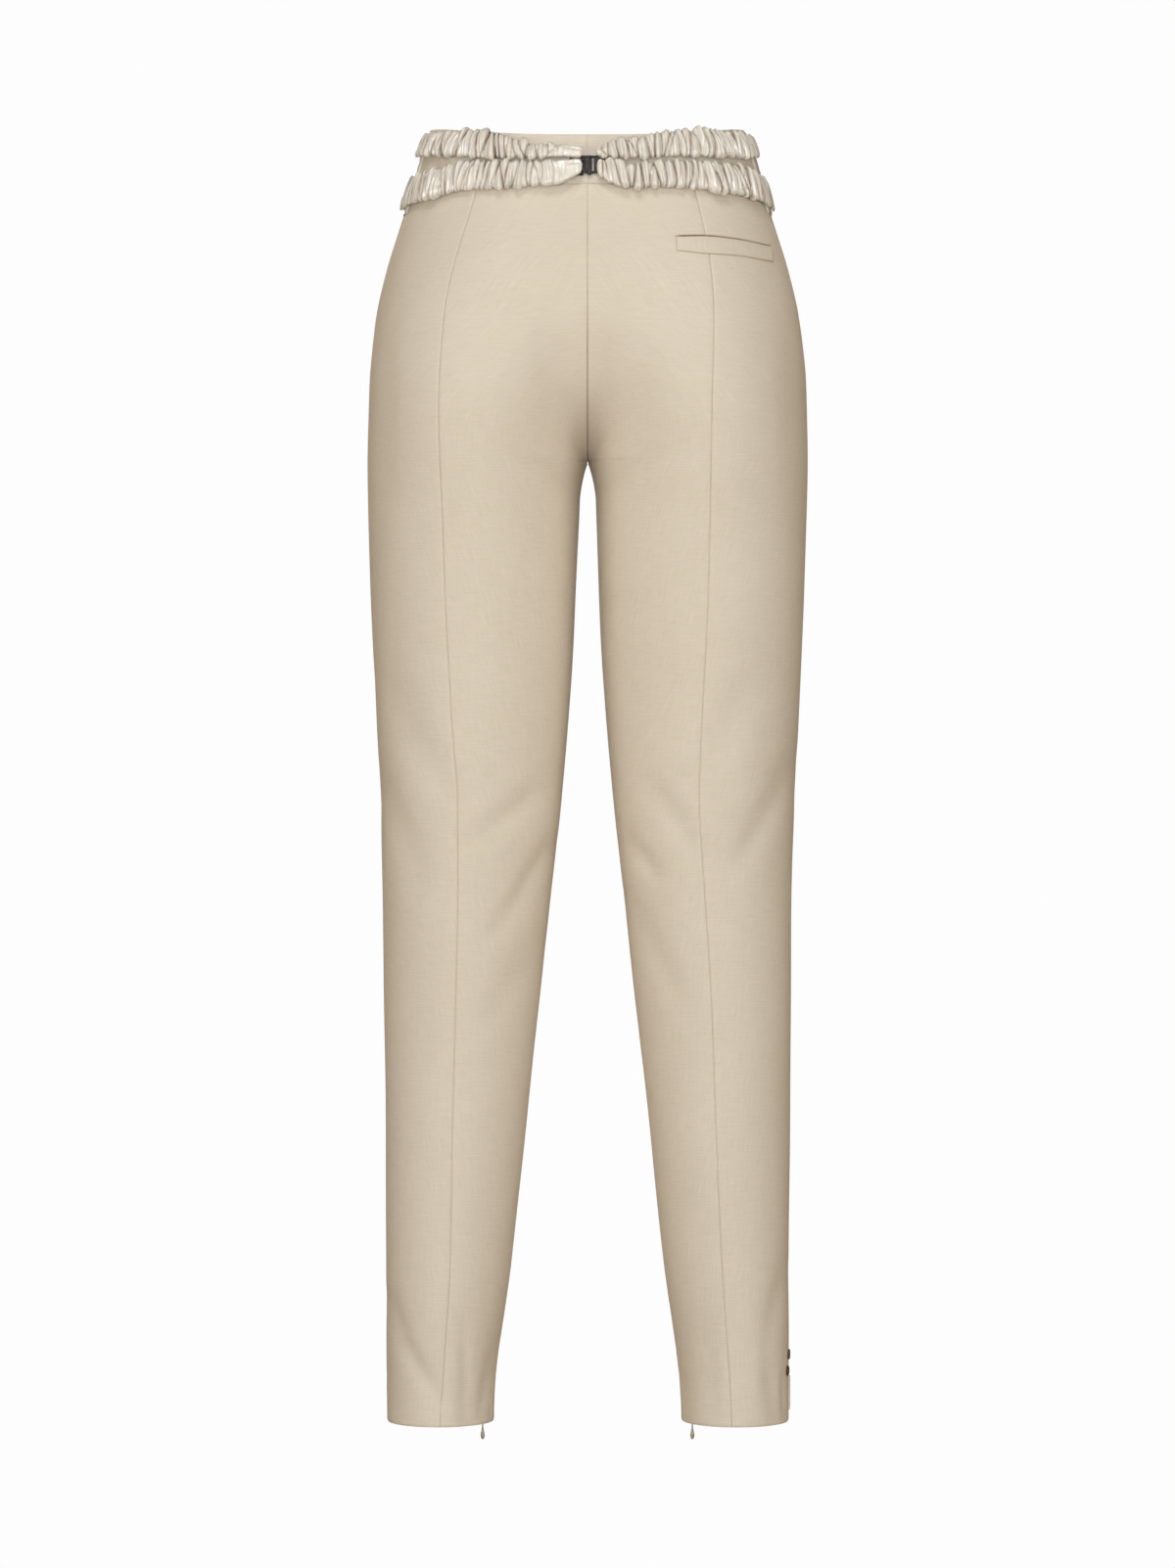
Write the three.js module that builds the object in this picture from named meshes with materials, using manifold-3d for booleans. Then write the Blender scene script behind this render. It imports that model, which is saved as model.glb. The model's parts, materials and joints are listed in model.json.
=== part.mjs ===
// Cigarette trousers, filled out as if worn, with nobody inside.
// Millimetres, +Z up. The wearer faces -Y, so the back is +Y and the wearer's left is +X.
// The origin is the middle of the waist opening, near half the waistband's height.
import * as THREE from 'three';
import { mergeVertices } from 'three/addons/utils/BufferGeometryUtils.js';
import Module from 'manifold-3d';

const wasm = await Module();
wasm.setup();

// ---------------------------------------------------------------- driving sizes
const CLOTH = 1.5;            // thickness of the wool wall
const SATIN = 1.2;            // thickness of the satin tabs and the welt
const SEAM_GAP = 0.3;         // distance between pieces that are sewn together
const FACET_SAG = 1.2;        // how far a wall's flat facets cut inside its round form
const HEM_Z = -975.5;         // bottom edge of both legs
const CROTCH_Z = -237;        // lowest point of the rise seam
const CROTCH_Y = 8;           // how far behind the middle that point lies
const WAIST_SEAM_Z = -18;     // side height of the seam under the waistband
const WAIST_TOP_Z = 20;       // side height of the waistband's top edge
const DIP_BACK = 11.5;        // how much lower the waist runs at the centre back
const DIP_FRONT = 10;         // and at the centre front
const DIP_FADE_Z = -95;       // the dip dies out here
const RISE_BACK = 150;        // height over which the back rise curve turns upright
const RISE_FRONT = 120;       // the same for the front rise
const ARCH = 28;              // height of the arch between the thighs
const ARCH_POINT = 1.8;       // how pointed that arch is: 1 is a half oval
const CROTCH_FADE = 60;       // depth below the crotch where the section is a plain oval
const LEFT = 1;
const RIGHT = -1;

// A table of named columns, read at any height by smooth interpolation.
function table(columns, rows) {
  const sorted = [...rows].sort((a, b) => a[0] - b[0]);
  return (name, at) => {
    const c = columns.indexOf(name);
    const last = sorted.length - 1;
    if (at <= sorted[0][0]) return sorted[0][c];
    if (at >= sorted[last][0]) return sorted[last][c];
    let i = 0;
    while (sorted[i + 1][0] < at) i += 1;
    const slope = (k) => {
      if (k <= 0 || k >= last) return 0;
      const before = (sorted[k][c] - sorted[k - 1][c]) / (sorted[k][0] - sorted[k - 1][0]);
      const after = (sorted[k + 1][c] - sorted[k][c]) / (sorted[k + 1][0] - sorted[k][0]);
      return before * after <= 0 ? 0 : (2 * before * after) / (before + after);
    };
    const span = sorted[i + 1][0] - sorted[i][0];
    const u = (at - sorted[i][0]) / span;
    const [p, q] = [sorted[i][c], sorted[i + 1][c]];
    const [m, n] = [slope(i) * span, slope(i + 1) * span];
    const u2 = u * u;
    const u3 = u2 * u;
    return (2 * u3 - 3 * u2 + 1) * p + (u3 - 2 * u2 + u) * m
      + (3 * u2 - 2 * u3) * q + (u3 - u2) * n;
  };
}

// The filled-out form, one row for each height. outer and inner are half-widths from the
// middle plane; front and back are depths; frontAt and backAt say where, from inner (0) to
// outer (1), the front-most and back-most points lie.
const form = table(
  ['z', 'outer', 'inner', 'front', 'back', 'frontAt', 'backAt'],
  [
    [-975.5, 155.2, 72.4, -56, 56, 0.50, 0.50],
    [-850, 155.6, 58.5, -59.5, 60, 0.50, 0.50],
    [-741, 156.2, 46.9, -64, 64.5, 0.50, 0.50],
    [-650, 157.0, 36.7, -69, 68, 0.50, 0.50],
    [-559, 158.3, 26.9, -75.5, 73, 0.50, 0.50],
    [-499, 160.0, 20.4, -80, 78, 0.50, 0.50],
    [-438, 163.0, 14.8, -85, 83.5, 0.50, 0.50],
    [-385, 165.3, 11.2, -89, 89, 0.50, 0.50],
    [-332, 167.8, 8.7, -93, 95, 0.49, 0.50],
    [-287, 169.2, 6.8, -97, 101.5, 0.48, 0.49],
    [-237, 170.0, 5.0, -102.5, 111, 0.45, 0.48],
    [-196, 169.2, 5.0, -106.5, 118, 0.38, 0.46],
    [-173, 168.4, 5.0, -108.5, 119.5, 0.32, 0.44],
    [-147, 166.0, 5.0, -109, 119, 0.27, 0.40],
    [-120, 162.4, 5.0, -108, 116, 0.22, 0.35],
    [-86, 154.6, 5.0, -104, 110, 0.18, 0.26],
    [-60, 146.6, 5.0, -100, 104.5, 0.15, 0.20],
    [-31, 137.4, 5.0, -95.5, 99, 0.13, 0.15],
    [-18, 133.6, 5.0, -93, 97, 0.12, 0.12],
    [0, 128.4, 5.0, -90, 94, 0.12, 0.10],
    [20, 122.0, 5.0, -88, 90, 0.12, 0.10],
  ],
);

// Where the seams run: the long back seam's distance from the middle on each leg, the side
// seam's depth, and how far the inseam has turned towards the back.
const seams = table(
  ['z', 'backLeft', 'backRight', 'sideY', 'inseamTurn'],
  [
    [-975.5, 112.4, 109.9, 0, 19.5],
    [-920, 109.0, 107.0, 0, 7],
    [-870, 105.5, 103.5, 0, 0],
    [-842, 104.4, 101.9, 0, 0],
    [-760, 103.2, 98.4, 0, 0],
    [-640, 100.2, 93.8, 0, 0],
    [-560, 98.8, 88.5, 0, 0],
    [-500, 99.0, 84.8, 0, 0],
    [-440, 103.1, 86.8, 0, 0],
    [-350, 108.0, 91.2, 0, 0],
    [-280, 110.3, 92.9, 1, 0],
    [-200, 112.6, 94.1, 4, 0],
    [-128, 108.5, 95.6, 17, 0],
    [-80, 98.8, 92.0, 27, 0],
    [-40, 88.5, 85.0, 29, 0],
    [-18, 84.0, 81.0, 29, 0],
    [20, 84.0, 81.0, 29, 0],
  ],
);

// ---------------------------------------------------------------- the form
const QUARTER_STEPS = 20;
const OVAL_POWER = 0.95;      // 1 is a true oval, less is a little squarer
const clamp01 = (v) => Math.min(1, Math.max(0, v));
const smooth = (v) => clamp01(v) ** 2 * (3 - 2 * clamp01(v));
const mix = (a, b, w) => a + (b - a) * w;
const quarterTurn = (u) => Math.sqrt(1 - (1 - clamp01(u)) ** 2);

// One half's level cut at height z, as a finely stepped line: it starts at the inseam or
// the front rise seam, runs round the front, the side and the back, and ends where it
// started or at the back rise seam.
function cut(z) {
  const outer = form('outer', z);
  const front = form('front', z);
  const back = form('back', z);
  const spread = form('inner', z);
  const below = CROTCH_Z - z;
  const inner = below <= 0 ? 0 : spread * quarterTurn(below / ARCH) ** ARCH_POINT;
  const frontX = mix(spread, outer, form('frontAt', z));
  const backX = mix(spread, outer, form('backAt', z));
  const middle = (front + back) / 2;
  const start = mix(CROTCH_Y, middle, smooth(below / CROTCH_FADE));
  // The rise seam's hollow is round the crotch point: s runs across it, rise upwards.
  const bowl = (s, rise) => quarterTurn(Math.hypot(s, Math.max(0, -below) / rise));
  const points = [];
  const quarter = (place) => {
    for (let i = 0; i < QUARTER_STEPS; i += 1) {
      points.push(place((i / QUARTER_STEPS) * (Math.PI / 2)));
    }
  };
  quarter((a) => {
    const s = 1 - Math.cos(a);
    return [mix(inner, frontX, s), mix(start, front, bowl(s, RISE_FRONT))];
  });
  quarter((a) => [
    mix(frontX, outer, Math.sin(a) ** OVAL_POWER),
    mix(middle, front, Math.cos(a) ** OVAL_POWER),
  ]);
  quarter((a) => [
    mix(backX, outer, Math.cos(a) ** OVAL_POWER),
    mix(middle, back, Math.sin(a) ** OVAL_POWER),
  ]);
  quarter((a) => {
    const s = 1 - Math.sin(a);
    return [mix(inner, backX, s), mix(start, back, bowl(s, RISE_BACK))];
  });
  points.push([inner, mix(start, back, bowl(0, RISE_BACK))]);
  const opened = smooth((z - CROTCH_Z) / RISE_FRONT);
  const shares = [
    mix(ovalQuarter(frontX - inner, middle - front), frontX, opened),
    ovalQuarter(outer - frontX, middle - front),
    ovalQuarter(outer - backX, back - middle),
    mix(ovalQuarter(backX - inner, back - middle), backX, opened),
  ];
  return measured(points, shares);
}

const ovalQuarter = (a, b) => (Math.PI / 2) * Math.sqrt((a * a + b * b) / 2);

// Gives each point of a cut its fraction t. The four quarters get their shares of t, and
// within a quarter t follows the running length, so that columns run smoothly upwards.
function measured(points, shares) {
  const total = shares.reduce((sum, share) => sum + share, 0);
  const fractions = [0];
  let start = 0;
  shares.forEach((share, quarter) => {
    const first = quarter * QUARTER_STEPS;
    const along = [0];
    for (let i = first + 1; i <= first + QUARTER_STEPS; i += 1) {
      const [a, b] = [points[i - 1], points[i]];
      along.push(along[along.length - 1] + Math.hypot(b[0] - a[0], b[1] - a[1]));
    }
    const length = along[QUARTER_STEPS];
    along.slice(1).forEach((run) => fractions.push(start + (share / total) * (run / length)));
    start += share / total;
  });
  return { points, fractions, length: total };
}

const cuts = new Map();
function cutAt(z) {
  const key = z.toFixed(3);
  if (!cuts.has(key)) cuts.set(key, cut(z));
  return cuts.get(key);
}

// The waist runs lower at the centre back and front than at the sides.
function dip(y, z) {
  const reach = y > 0 ? form('back', z) : form('front', z);
  const depth = y > 0 ? DIP_BACK : DIP_FRONT;
  return -depth * (y / reach) ** 2 * smooth((z - DIP_FADE_Z) / (WAIST_SEAM_Z - DIP_FADE_Z));
}

// A point of the wearer's left half: t runs from 0 to 1 along the level cut. Below the
// crotch the cut is a closed loop, so t wraps; above it, a t beyond an end is mirrored.
function surface(t, z) {
  const line = cutAt(z);
  let s = t;
  let flip = 1;
  if (z <= CROTCH_Z) {
    s = (((t - seams('inseamTurn', z) / line.length) % 1) + 1) % 1;
  } else if (s < 0 || s > 1) {
    s = s < 0 ? -s : 2 - s;
    flip = -1;
  }
  let low = 0;
  let high = line.fractions.length - 1;
  while (high - low > 1) {
    const half = (low + high) >> 1;
    if (line.fractions[half] <= s) low = half; else high = half;
  }
  const u = (s - line.fractions[low]) / (line.fractions[high] - line.fractions[low]);
  const x = mix(line.points[low][0], line.points[high][0], u);
  const y = mix(line.points[low][1], line.points[high][1], u);
  return new THREE.Vector3(flip * x, y, z + dip(y, z));
}

const NORMAL_STEP = 3;
function normal(t, z) {
  const dt = NORMAL_STEP / cutAt(z).length;
  const round = surface(t + dt, z).sub(surface(t - dt, z));
  const up = surface(t, Math.min(z + NORMAL_STEP, WAIST_TOP_Z)).sub(surface(t, z - NORMAL_STEP));
  return up.cross(round).negate().normalize();
}

// A point lifted off the cloth's outer face by the given distance (negative: inside).
function lifted(t, z, distance) {
  const point = surface(t, z).addScaledVector(normal(t, z), distance);
  if (z > CROTCH_Z) point.x = Math.max(point.x, SEAM_GAP / 2);
  return point;
}

// Finds t where the test rises through zero between two fractions.
function solve(test, from, to) {
  let [a, b] = [from, to];
  for (let i = 0; i < 40; i += 1) {
    const half = (a + b) / 2;
    if (test(half) * test(a) > 0) a = half; else b = half;
  }
  return (a + b) / 2;
}

const outermost = (z) => {
  let best = 0;
  for (let i = 1; i < 200; i += 1) {
    if (surface(i / 200, z).x > surface(best / 200, z).x) best = i;
  }
  return best / 200;
};
const sideSeamAt = (z) => solve((t) => surface(t, z).y - seams('sideY', z), 0.3, 0.72);
const backAtX = (x, z) => solve((t) => surface(t, z).x - x, outermost(z), 0.985);
const frontAtX = (x, z) => solve((t) => surface(t, z).x - x, 0, 0.3);
const backSeamAt = (z, side) => backAtX(seams(side === LEFT ? 'backLeft' : 'backRight', z), z);

// The form's own height at which its surface, dipped at the back and front, reaches z.
function levelOf(z, tAt) {
  let level = z;
  for (let i = 0; i < 6; i += 1) level += z - surface(tAt(level), level).z;
  return level;
}

// ---------------------------------------------------------------- solids from points
const wool = { color: 0xe2d8c0, roughness: 0.85, metalness: 0 };
const satin = { color: 0xe6e2d8, roughness: 0.35, metalness: 0 };
const gunmetal = { color: 0x3c3732, roughness: 0.35, metalness: 1 };
const greige = { color: 0xb9b2a4, roughness: 0.45, metalness: 0.6 };
const horn = { color: 0x3a2c20, roughness: 0.4, metalness: 0 };
const trousers = new THREE.Group();

function add(name, geometry, finish) {
  const mesh = new THREE.Mesh(geometry, new THREE.MeshStandardMaterial(finish));
  mesh.name = name;
  trousers.add(mesh);
  return mesh;
}

function geometryOf(points, faces, side) {
  const flat = points.flatMap((p) => [p.x * side, p.y, p.z]);
  const index = faces.flatMap(([a, b, c]) => (side === RIGHT ? [a, c, b] : [a, b, c]));
  const geometry = new THREE.BufferGeometry();
  geometry.setAttribute('position', new THREE.Float32BufferAttribute(flat, 3));
  geometry.setIndex(index);
  return geometry;
}

// A closed wall between an outer and an inner grid of points (rows upwards, columns from
// the front round to the back).
function wall(outerGrid, innerGrid, side) {
  const rows = outerGrid.length;
  const cols = outerGrid[0].length;
  const points = [...outerGrid.flat(), ...innerGrid.flat()];
  const out = (r, c) => r * cols + c;
  const inn = (r, c) => rows * cols + r * cols + c;
  const faces = [];
  const quad = (a, b, c, d) => faces.push([a, b, c], [a, c, d]);
  for (let r = 0; r + 1 < rows; r += 1) {
    for (let c = 0; c + 1 < cols; c += 1) {
      quad(out(r, c), out(r, c + 1), out(r + 1, c + 1), out(r + 1, c));
      quad(inn(r, c), inn(r + 1, c), inn(r + 1, c + 1), inn(r, c + 1));
    }
    quad(out(r, 0), out(r + 1, 0), inn(r + 1, 0), inn(r, 0));
    quad(out(r, cols - 1), inn(r, cols - 1), inn(r + 1, cols - 1), out(r + 1, cols - 1));
  }
  for (let c = 0; c + 1 < cols; c += 1) {
    quad(out(0, c), inn(0, c), inn(0, c + 1), out(0, c + 1));
    quad(out(rows - 1, c), out(rows - 1, c + 1), inn(rows - 1, c + 1), inn(rows - 1, c));
  }
  return geometryOf(points, faces, side);
}

// A wall that follows the form: heights is a list of z, ends gives the first and last t.
function formWall(side, heights, columns, ends, from = 0, to = -CLOTH) {
  const grid = (distance) => heights.map((z) => {
    const [start, stop] = ends(z);
    return Array.from({ length: columns + 1 }, (_, i) => (
      lifted(mix(start, stop, i / columns), z, distance)));
  });
  return wall(grid(from), grid(to), side);
}

const trim = (z) => SEAM_GAP / 2 / cutAt(z).length;

// ---------------------------------------------------------------- legs and seat
const HEIGHTS = [
  HEM_Z, -957, -938, -918, -895, -868, -805, -735, -665, -600, -540, -485, -435, -385, -332,
  -287, -262, -249, -242.5, -239, CROTCH_Z, -232.5, -225, -213, -196, -173, -147, -120, -95,
  -72, -46, WAIST_SEAM_Z,
];
const FRONT_COLUMNS = 9;
const SIDE_BACK_COLUMNS = 5;
const CENTRE_BACK_COLUMNS = 7;

function buildLeg(side, word) {
  add(`front_${word}`, formWall(side, HEIGHTS, FRONT_COLUMNS, (z) => (
    [trim(z), sideSeamAt(z) - trim(z)])), wool);
  add(`side_back_${word}`, formWall(side, HEIGHTS, SIDE_BACK_COLUMNS, (z) => (
    [sideSeamAt(z) + trim(z), backSeamAt(z, side) - trim(z)])), wool);
  add(`centre_back_${word}`, formWall(side, HEIGHTS, CENTRE_BACK_COLUMNS, (z) => (
    [backSeamAt(z, side) + trim(z), 1 - trim(z)])), wool);
}

const BAND_HEIGHTS = [WAIST_SEAM_Z + SEAM_GAP, -6, 7, WAIST_TOP_Z];
const WAISTBAND_COLUMNS = 9;

function buildWaistband(side, word) {
  add(`waistband_front_${word}`, formWall(side, BAND_HEIGHTS, WAISTBAND_COLUMNS, (z) => (
    [trim(z), sideSeamAt(z) - trim(z)])), wool);
  add(`waistband_back_${word}`, formWall(side, BAND_HEIGHTS, WAISTBAND_COLUMNS, (z) => (
    [sideSeamAt(z) + trim(z), 1 - trim(z)])), wool);
}

// ---------------------------------------------------------------- welt pocket, fly zip
const LAID_ON = 0.35;         // clearance under a piece that lies on the cloth
const welt = table(['x', 'top', 'bottom'], [
  [67, -70.6, -81.4],
  [90, -69.8, -83.2],
  [113, -71.0, -83.4],
  [141, -73.6, -85.4],
]);
const WELT_ENDS = [141, 67];
const WELT_COLUMNS = 12;
const WELT_ROWS = 2;

function buildWelt() {
  const grid = (distance) => Array.from({ length: WELT_ROWS + 1 }, (_, r) => (
    Array.from({ length: WELT_COLUMNS + 1 }, (__, c) => {
      const x = mix(WELT_ENDS[0], WELT_ENDS[1], c / WELT_COLUMNS);
      const z = mix(welt('bottom', x), welt('top', x), r / WELT_ROWS);
      const level = levelOf(z, (at) => backAtX(x, at));
      return lifted(backAtX(x, level), level, distance);
    })));
  add('pocket_welt', wall(grid(LAID_ON + SATIN), grid(LAID_ON), RIGHT), wool);
}

const FLY_HEIGHTS = [-150, -120, -90, -60, -22];
const FLY_HALF_WIDTH = 13;
const TAPE = 1.0;             // thickness of a zip tape

function buildFlyZip() {
  const inside = CLOTH + SEAM_GAP + FACET_SAG / 3;
  const row = (z, distance) => [-1, -0.5, 0, 0.5, 1].map((u) => {
    const t = frontAtX(Math.abs(u) * FLY_HALF_WIDTH, z);
    const point = surface(t, z).addScaledVector(normal(t, z), distance);
    point.x = u * FLY_HALF_WIDTH;
    return point;
  });
  const outside = FLY_HEIGHTS.map((z) => row(z, -inside));
  const within = FLY_HEIGHTS.map((z) => row(z, -inside - TAPE));
  add('fly_zip', wall(outside, within, LEFT), wool);
}

// ---------------------------------------------------------------- satin bands and tabs
// turn is the angle round the waist from the centre back (0) to the side (90) and on.
// Each band has its middle height and half its width there; lift is how far its inner
// face stands off the cloth, and half is half its thickness.
const BAND_COLUMNS = ['turn', 'upperZ', 'upperHalf', 'lowerZ', 'lowerHalf', 'lift', 'half'];
const bands = {
  left: table(BAND_COLUMNS, [
    [1.75, -8.4, 3.9, -18.8, 5.6, 6.0, 2.2],
    [10, -7.2, 4.9, -23.4, 9.4, 4.4, 3.0],
    [18, -6.0, 6.3, -23.4, 9.8, 0.9, 4.2],
    [27.5, -2.6, 8.6, -23.8, 10.8, 0.9, 4.4],
    [38, 0.2, 10.8, -23.9, 11.5, 0.9, 4.4],
    [52, 2.7, 10.4, -27.6, 11.5, 0.9, 4.4],
    [63, 3.9, 9.0, -29.2, 12.0, 1.3, 3.4],
    [72, 5.4, 8.5, -29.6, 12.0, 2.4, 2.2],
    [84, 6.9, 7.9, -29.9, 11.9, 2.4, 1.6],
    [100, 8.0, 7.5, -30.0, 11.5, 2.4, 1.5],
  ]),
  right: table(BAND_COLUMNS, [
    [3.1, -8.0, 3.7, -19.6, 6.8, 5.0, 2.2],
    [9, -4.8, 7.0, -23.2, 9.8, 4.2, 3.0],
    [15, -4.4, 7.8, -25.4, 9.3, 0.9, 4.2],
    [24.5, -1.2, 9.8, -23.7, 9.6, 0.9, 4.4],
    [36, 1.2, 10.8, -23.4, 11.4, 0.9, 4.4],
    [45, 1.8, 11.0, -24.6, 12.0, 0.9, 4.4],
    [63, 2.8, 10.2, -27.4, 11.7, 1.3, 3.4],
    [72, 4.9, 9.1, -28.9, 12.0, 2.4, 2.2],
    [84, 6.6, 8.2, -29.7, 12.0, 2.4, 1.6],
    [100, 8.0, 7.5, -30.0, 11.5, 2.4, 1.5],
  ]),
};
const BAND_STEPS = 26;
const BAND_SIDES = 10;
const BAND_TURNS = { left: 1.75, right: 3.1, stop: 97 };
const BAND_RISE = 4;          // height over which a band's upward direction is measured

// The fraction t at a given turn round the waist.
function atTurn(degrees, z) {
  const want = THREE.MathUtils.degToRad(degrees);
  const turnOf = (t) => {
    const p = surface(t, z);
    return Math.atan2(p.x / form('outer', z), p.y / form('back', z));
  };
  return solve((t) => turnOf(t) - want, 0.05, 0.9999);
}

// A flat tube: an oval section carried round the waist, closed at both ends.
function bandTube(side, sizes, level) {
  const rings = [];
  const first = level.start;
  for (let i = 0; i <= BAND_STEPS; i += 1) {
    const turn = mix(first, level.stop, i / BAND_STEPS);
    const z = levelOf(sizes(level.z, turn), (at) => atTurn(turn, at));
    const half = sizes('half', turn);
    const width = sizes(level.half, turn);
    const t = atTurn(turn, z);
    const outward = normal(t, z);
    const above = surface(t, Math.min(z + BAND_RISE, WAIST_TOP_Z));
    const upward = above.sub(surface(t, z - BAND_RISE)).normalize();
    const centre = surface(t, z).addScaledVector(outward, sizes('lift', turn) + half);
    rings.push(Array.from({ length: BAND_SIDES }, (_, k) => {
      const a = (k / BAND_SIDES) * Math.PI * 2;
      return centre.clone()
        .addScaledVector(outward, Math.cos(a) * half)
        .addScaledVector(upward, Math.sin(a) * width);
    }));
  }
  const points = rings.flat();
  const faces = [];
  const at = (i, k) => i * BAND_SIDES + (k % BAND_SIDES);
  for (let i = 0; i < BAND_STEPS; i += 1) {
    for (let k = 0; k < BAND_SIDES; k += 1) {
      faces.push([at(i, k), at(i, k + 1), at(i + 1, k + 1)], [at(i, k), at(i + 1, k + 1), at(i + 1, k)]);
    }
  }
  for (let k = 1; k + 1 < BAND_SIDES; k += 1) {
    faces.push([at(0, 0), at(0, k + 1), at(0, k)]);
    faces.push([at(BAND_STEPS, 0), at(BAND_STEPS, k), at(BAND_STEPS, k + 1)]);
  }
  return geometryOf(points, faces, side);
}

function buildBands(side, word) {
  const start = BAND_TURNS[word];
  const { stop } = BAND_TURNS;
  const upper = { z: 'upperZ', half: 'upperHalf', start, stop };
  const lower = { z: 'lowerZ', half: 'lowerHalf', start, stop };
  add(`band_upper_${word}`, bandTube(side, bands[word], upper), satin);
  add(`band_lower_${word}`, bandTube(side, bands[word], lower), satin);
}

const TAB_HEIGHTS = [-45, -30, -14, 2, 18];
const TAB_TURNS = [106, 73];
const TAB_COLUMNS = 6;
const TAB_LIFT = 0.6;

function buildTab(side, word) {
  add(`side_tab_${word}`, formWall(side, TAB_HEIGHTS, TAB_COLUMNS, (z) => (
    [atTurn(TAB_TURNS[0], z), atTurn(TAB_TURNS[1], z)]),
  TAB_LIFT + SATIN, TAB_LIFT), satin);
}

// ---------------------------------------------------------------- clasp
const PLATE = 1.6;            // thickness of a clasp plate
const CLASP = {
  top: -8.6, bottom: -23.6, bar: 1.9, standOff: 0.6,
  loopOut: 13.4, loopIn: 3.1,
  hookOut: -13.2, hookGap: -4.9, hookBottom: -22.1,
  tongueOut: -3.3, tongueIn: 0.4, tongueThick: 1, tongueEnd: 0.15,
};

function rectangle(x0, z0, x1, z1) {
  return new THREE.Shape([[x0, z0], [x1, z0], [x1, z1], [x0, z1]].map((p) => new THREE.Vector2(...p)));
}

const ARC_STEPS = 8;
function arcPoints(x, y, radius, from, to) {
  return Array.from({ length: ARC_STEPS + 1 }, (_, i) => {
    const a = mix(from, to, i / ARC_STEPS);
    return new THREE.Vector2(x + radius * Math.cos(a), y + radius * Math.sin(a));
  });
}

// A plate drawn in the XZ plane, its inner face at the given depth.
function plate(shape, y, thickness) {
  const geometry = new THREE.ExtrudeGeometry(shape, {
    depth: thickness, bevelEnabled: false, curveSegments: 6,
  });
  geometry.rotateX(Math.PI / 2);
  geometry.translate(0, y + thickness, 0);
  return geometry;
}

const MERGE = 1e-3;           // vertices closer than this are one

function solidOf(geometry) {
  const bare = geometry.clone();
  bare.deleteAttribute('normal');
  bare.deleteAttribute('uv');
  const merged = mergeVertices(bare, MERGE);
  return new wasm.Manifold(new wasm.Mesh({
    numProp: 3,
    vertProperties: Float32Array.from(merged.attributes.position.array),
    triVerts: Uint32Array.from(merged.index.array),
  }));
}

function joined(geometries) {
  const mesh = geometries.map(solidOf).reduce((a, b) => a.add(b)).getMesh();
  const geometry = new THREE.BufferGeometry();
  geometry.setAttribute('position', new THREE.Float32BufferAttribute(mesh.vertProperties, 3));
  geometry.setIndex([...mesh.triVerts]);
  return geometry;
}

function buildClasp() {
  const { top, bottom, bar, loopOut, loopIn, tongueOut, tongueIn } = CLASP;
  const centreBack = (at) => atTurn(0.2, at);
  const y = form('back', levelOf(bottom, centreBack)) + CLASP.standOff;
  const loop = rectangle(loopIn, bottom, loopOut, top);
  loop.holes.push(rectangle(loopIn + bar, bottom + bar, loopOut - bar, top - bar));
  add('clasp_loop', plate(loop, y, PLATE), gunmetal);
  const edge = loopIn - SEAM_GAP;
  const frame = rectangle(CLASP.hookOut, CLASP.hookBottom, edge, top);
  frame.holes.push(rectangle(CLASP.hookGap, CLASP.hookBottom + bar, edge - bar, top - bar));
  const radius = (tongueIn - tongueOut) / 2;
  const tongue = new THREE.Shape([
    new THREE.Vector2(tongueOut, top),
    ...arcPoints(tongueOut + radius, bottom + radius + CLASP.tongueEnd, radius, Math.PI, 2 * Math.PI),
    new THREE.Vector2(tongueIn, top),
  ]);
  const claw = rectangle(tongueOut, top - bar, loopIn + bar, top);
  const root = rectangle(tongueOut, top - bar, tongueIn, top);
  const over = y + PLATE + SEAM_GAP;
  add('clasp_hook', joined([
    plate(frame, y, PLATE),
    plate(root, y, over - y + CLASP.tongueThick / 2),
    plate(tongue, over, CLASP.tongueThick),
    plate(claw, over, CLASP.tongueThick),
  ]), gunmetal);
}

// ---------------------------------------------------------------- ankle zips
const ZIP_HEIGHTS = [-974.5, -957, -938, -918, -895, -868];
const ZIP_HALF_WIDTH = 8;

// The frame of directions at the foot of the inseam: round the hem, outwards and up.
function zipPlace() {
  const at = surface(0, HEM_Z);
  const outward = normal(0, HEM_Z).setZ(0).normalize();
  const up = new THREE.Vector3(0, 0, 1);
  const round = new THREE.Vector3().crossVectors(outward, up).normalize();
  return { at, outward, round, up };
}

// A box in that frame, between two corners given as (round, outward, up).
function zipBox(place, low, high) {
  const size = high.map((v, i) => v - low[i]);
  const geometry = new THREE.BoxGeometry(...size);
  geometry.translate(...low.map((v, i) => v + size[i] / 2));
  const basis = new THREE.Matrix4().makeBasis(place.round, place.outward, place.up);
  basis.setPosition(place.at);
  geometry.applyMatrix4(basis);
  return geometry;
}

// The slider lies inside the tape; its two ears hold the pin that the pull hangs on.
// Heights are above the hem, depths are inwards from the cloth's outer face.
const SLIDER = { half: 1.9, thick: 1.8, low: 2.5, high: 10, clearance: 0.2 };
const EAR = { from: 0.85, to: 1.45, low: 0.1, high: 3, margin: 0.8 };
const PIN = { height: 0.9, depth: 6, radius: 0.45, sides: 16 };
const EYE = { outer: 1.35, inner: 0.7, half: 0.55, sides: 24 };
const DROP = [
  [0, 1.0], [0.5, 1.0], [0.55, 5], [1.1, 8], [1.65, 10.8], [1.35, 12.8], [0.7, 13.9], [0, 14.3],
];
const DROP_SIDES = 16;

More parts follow.
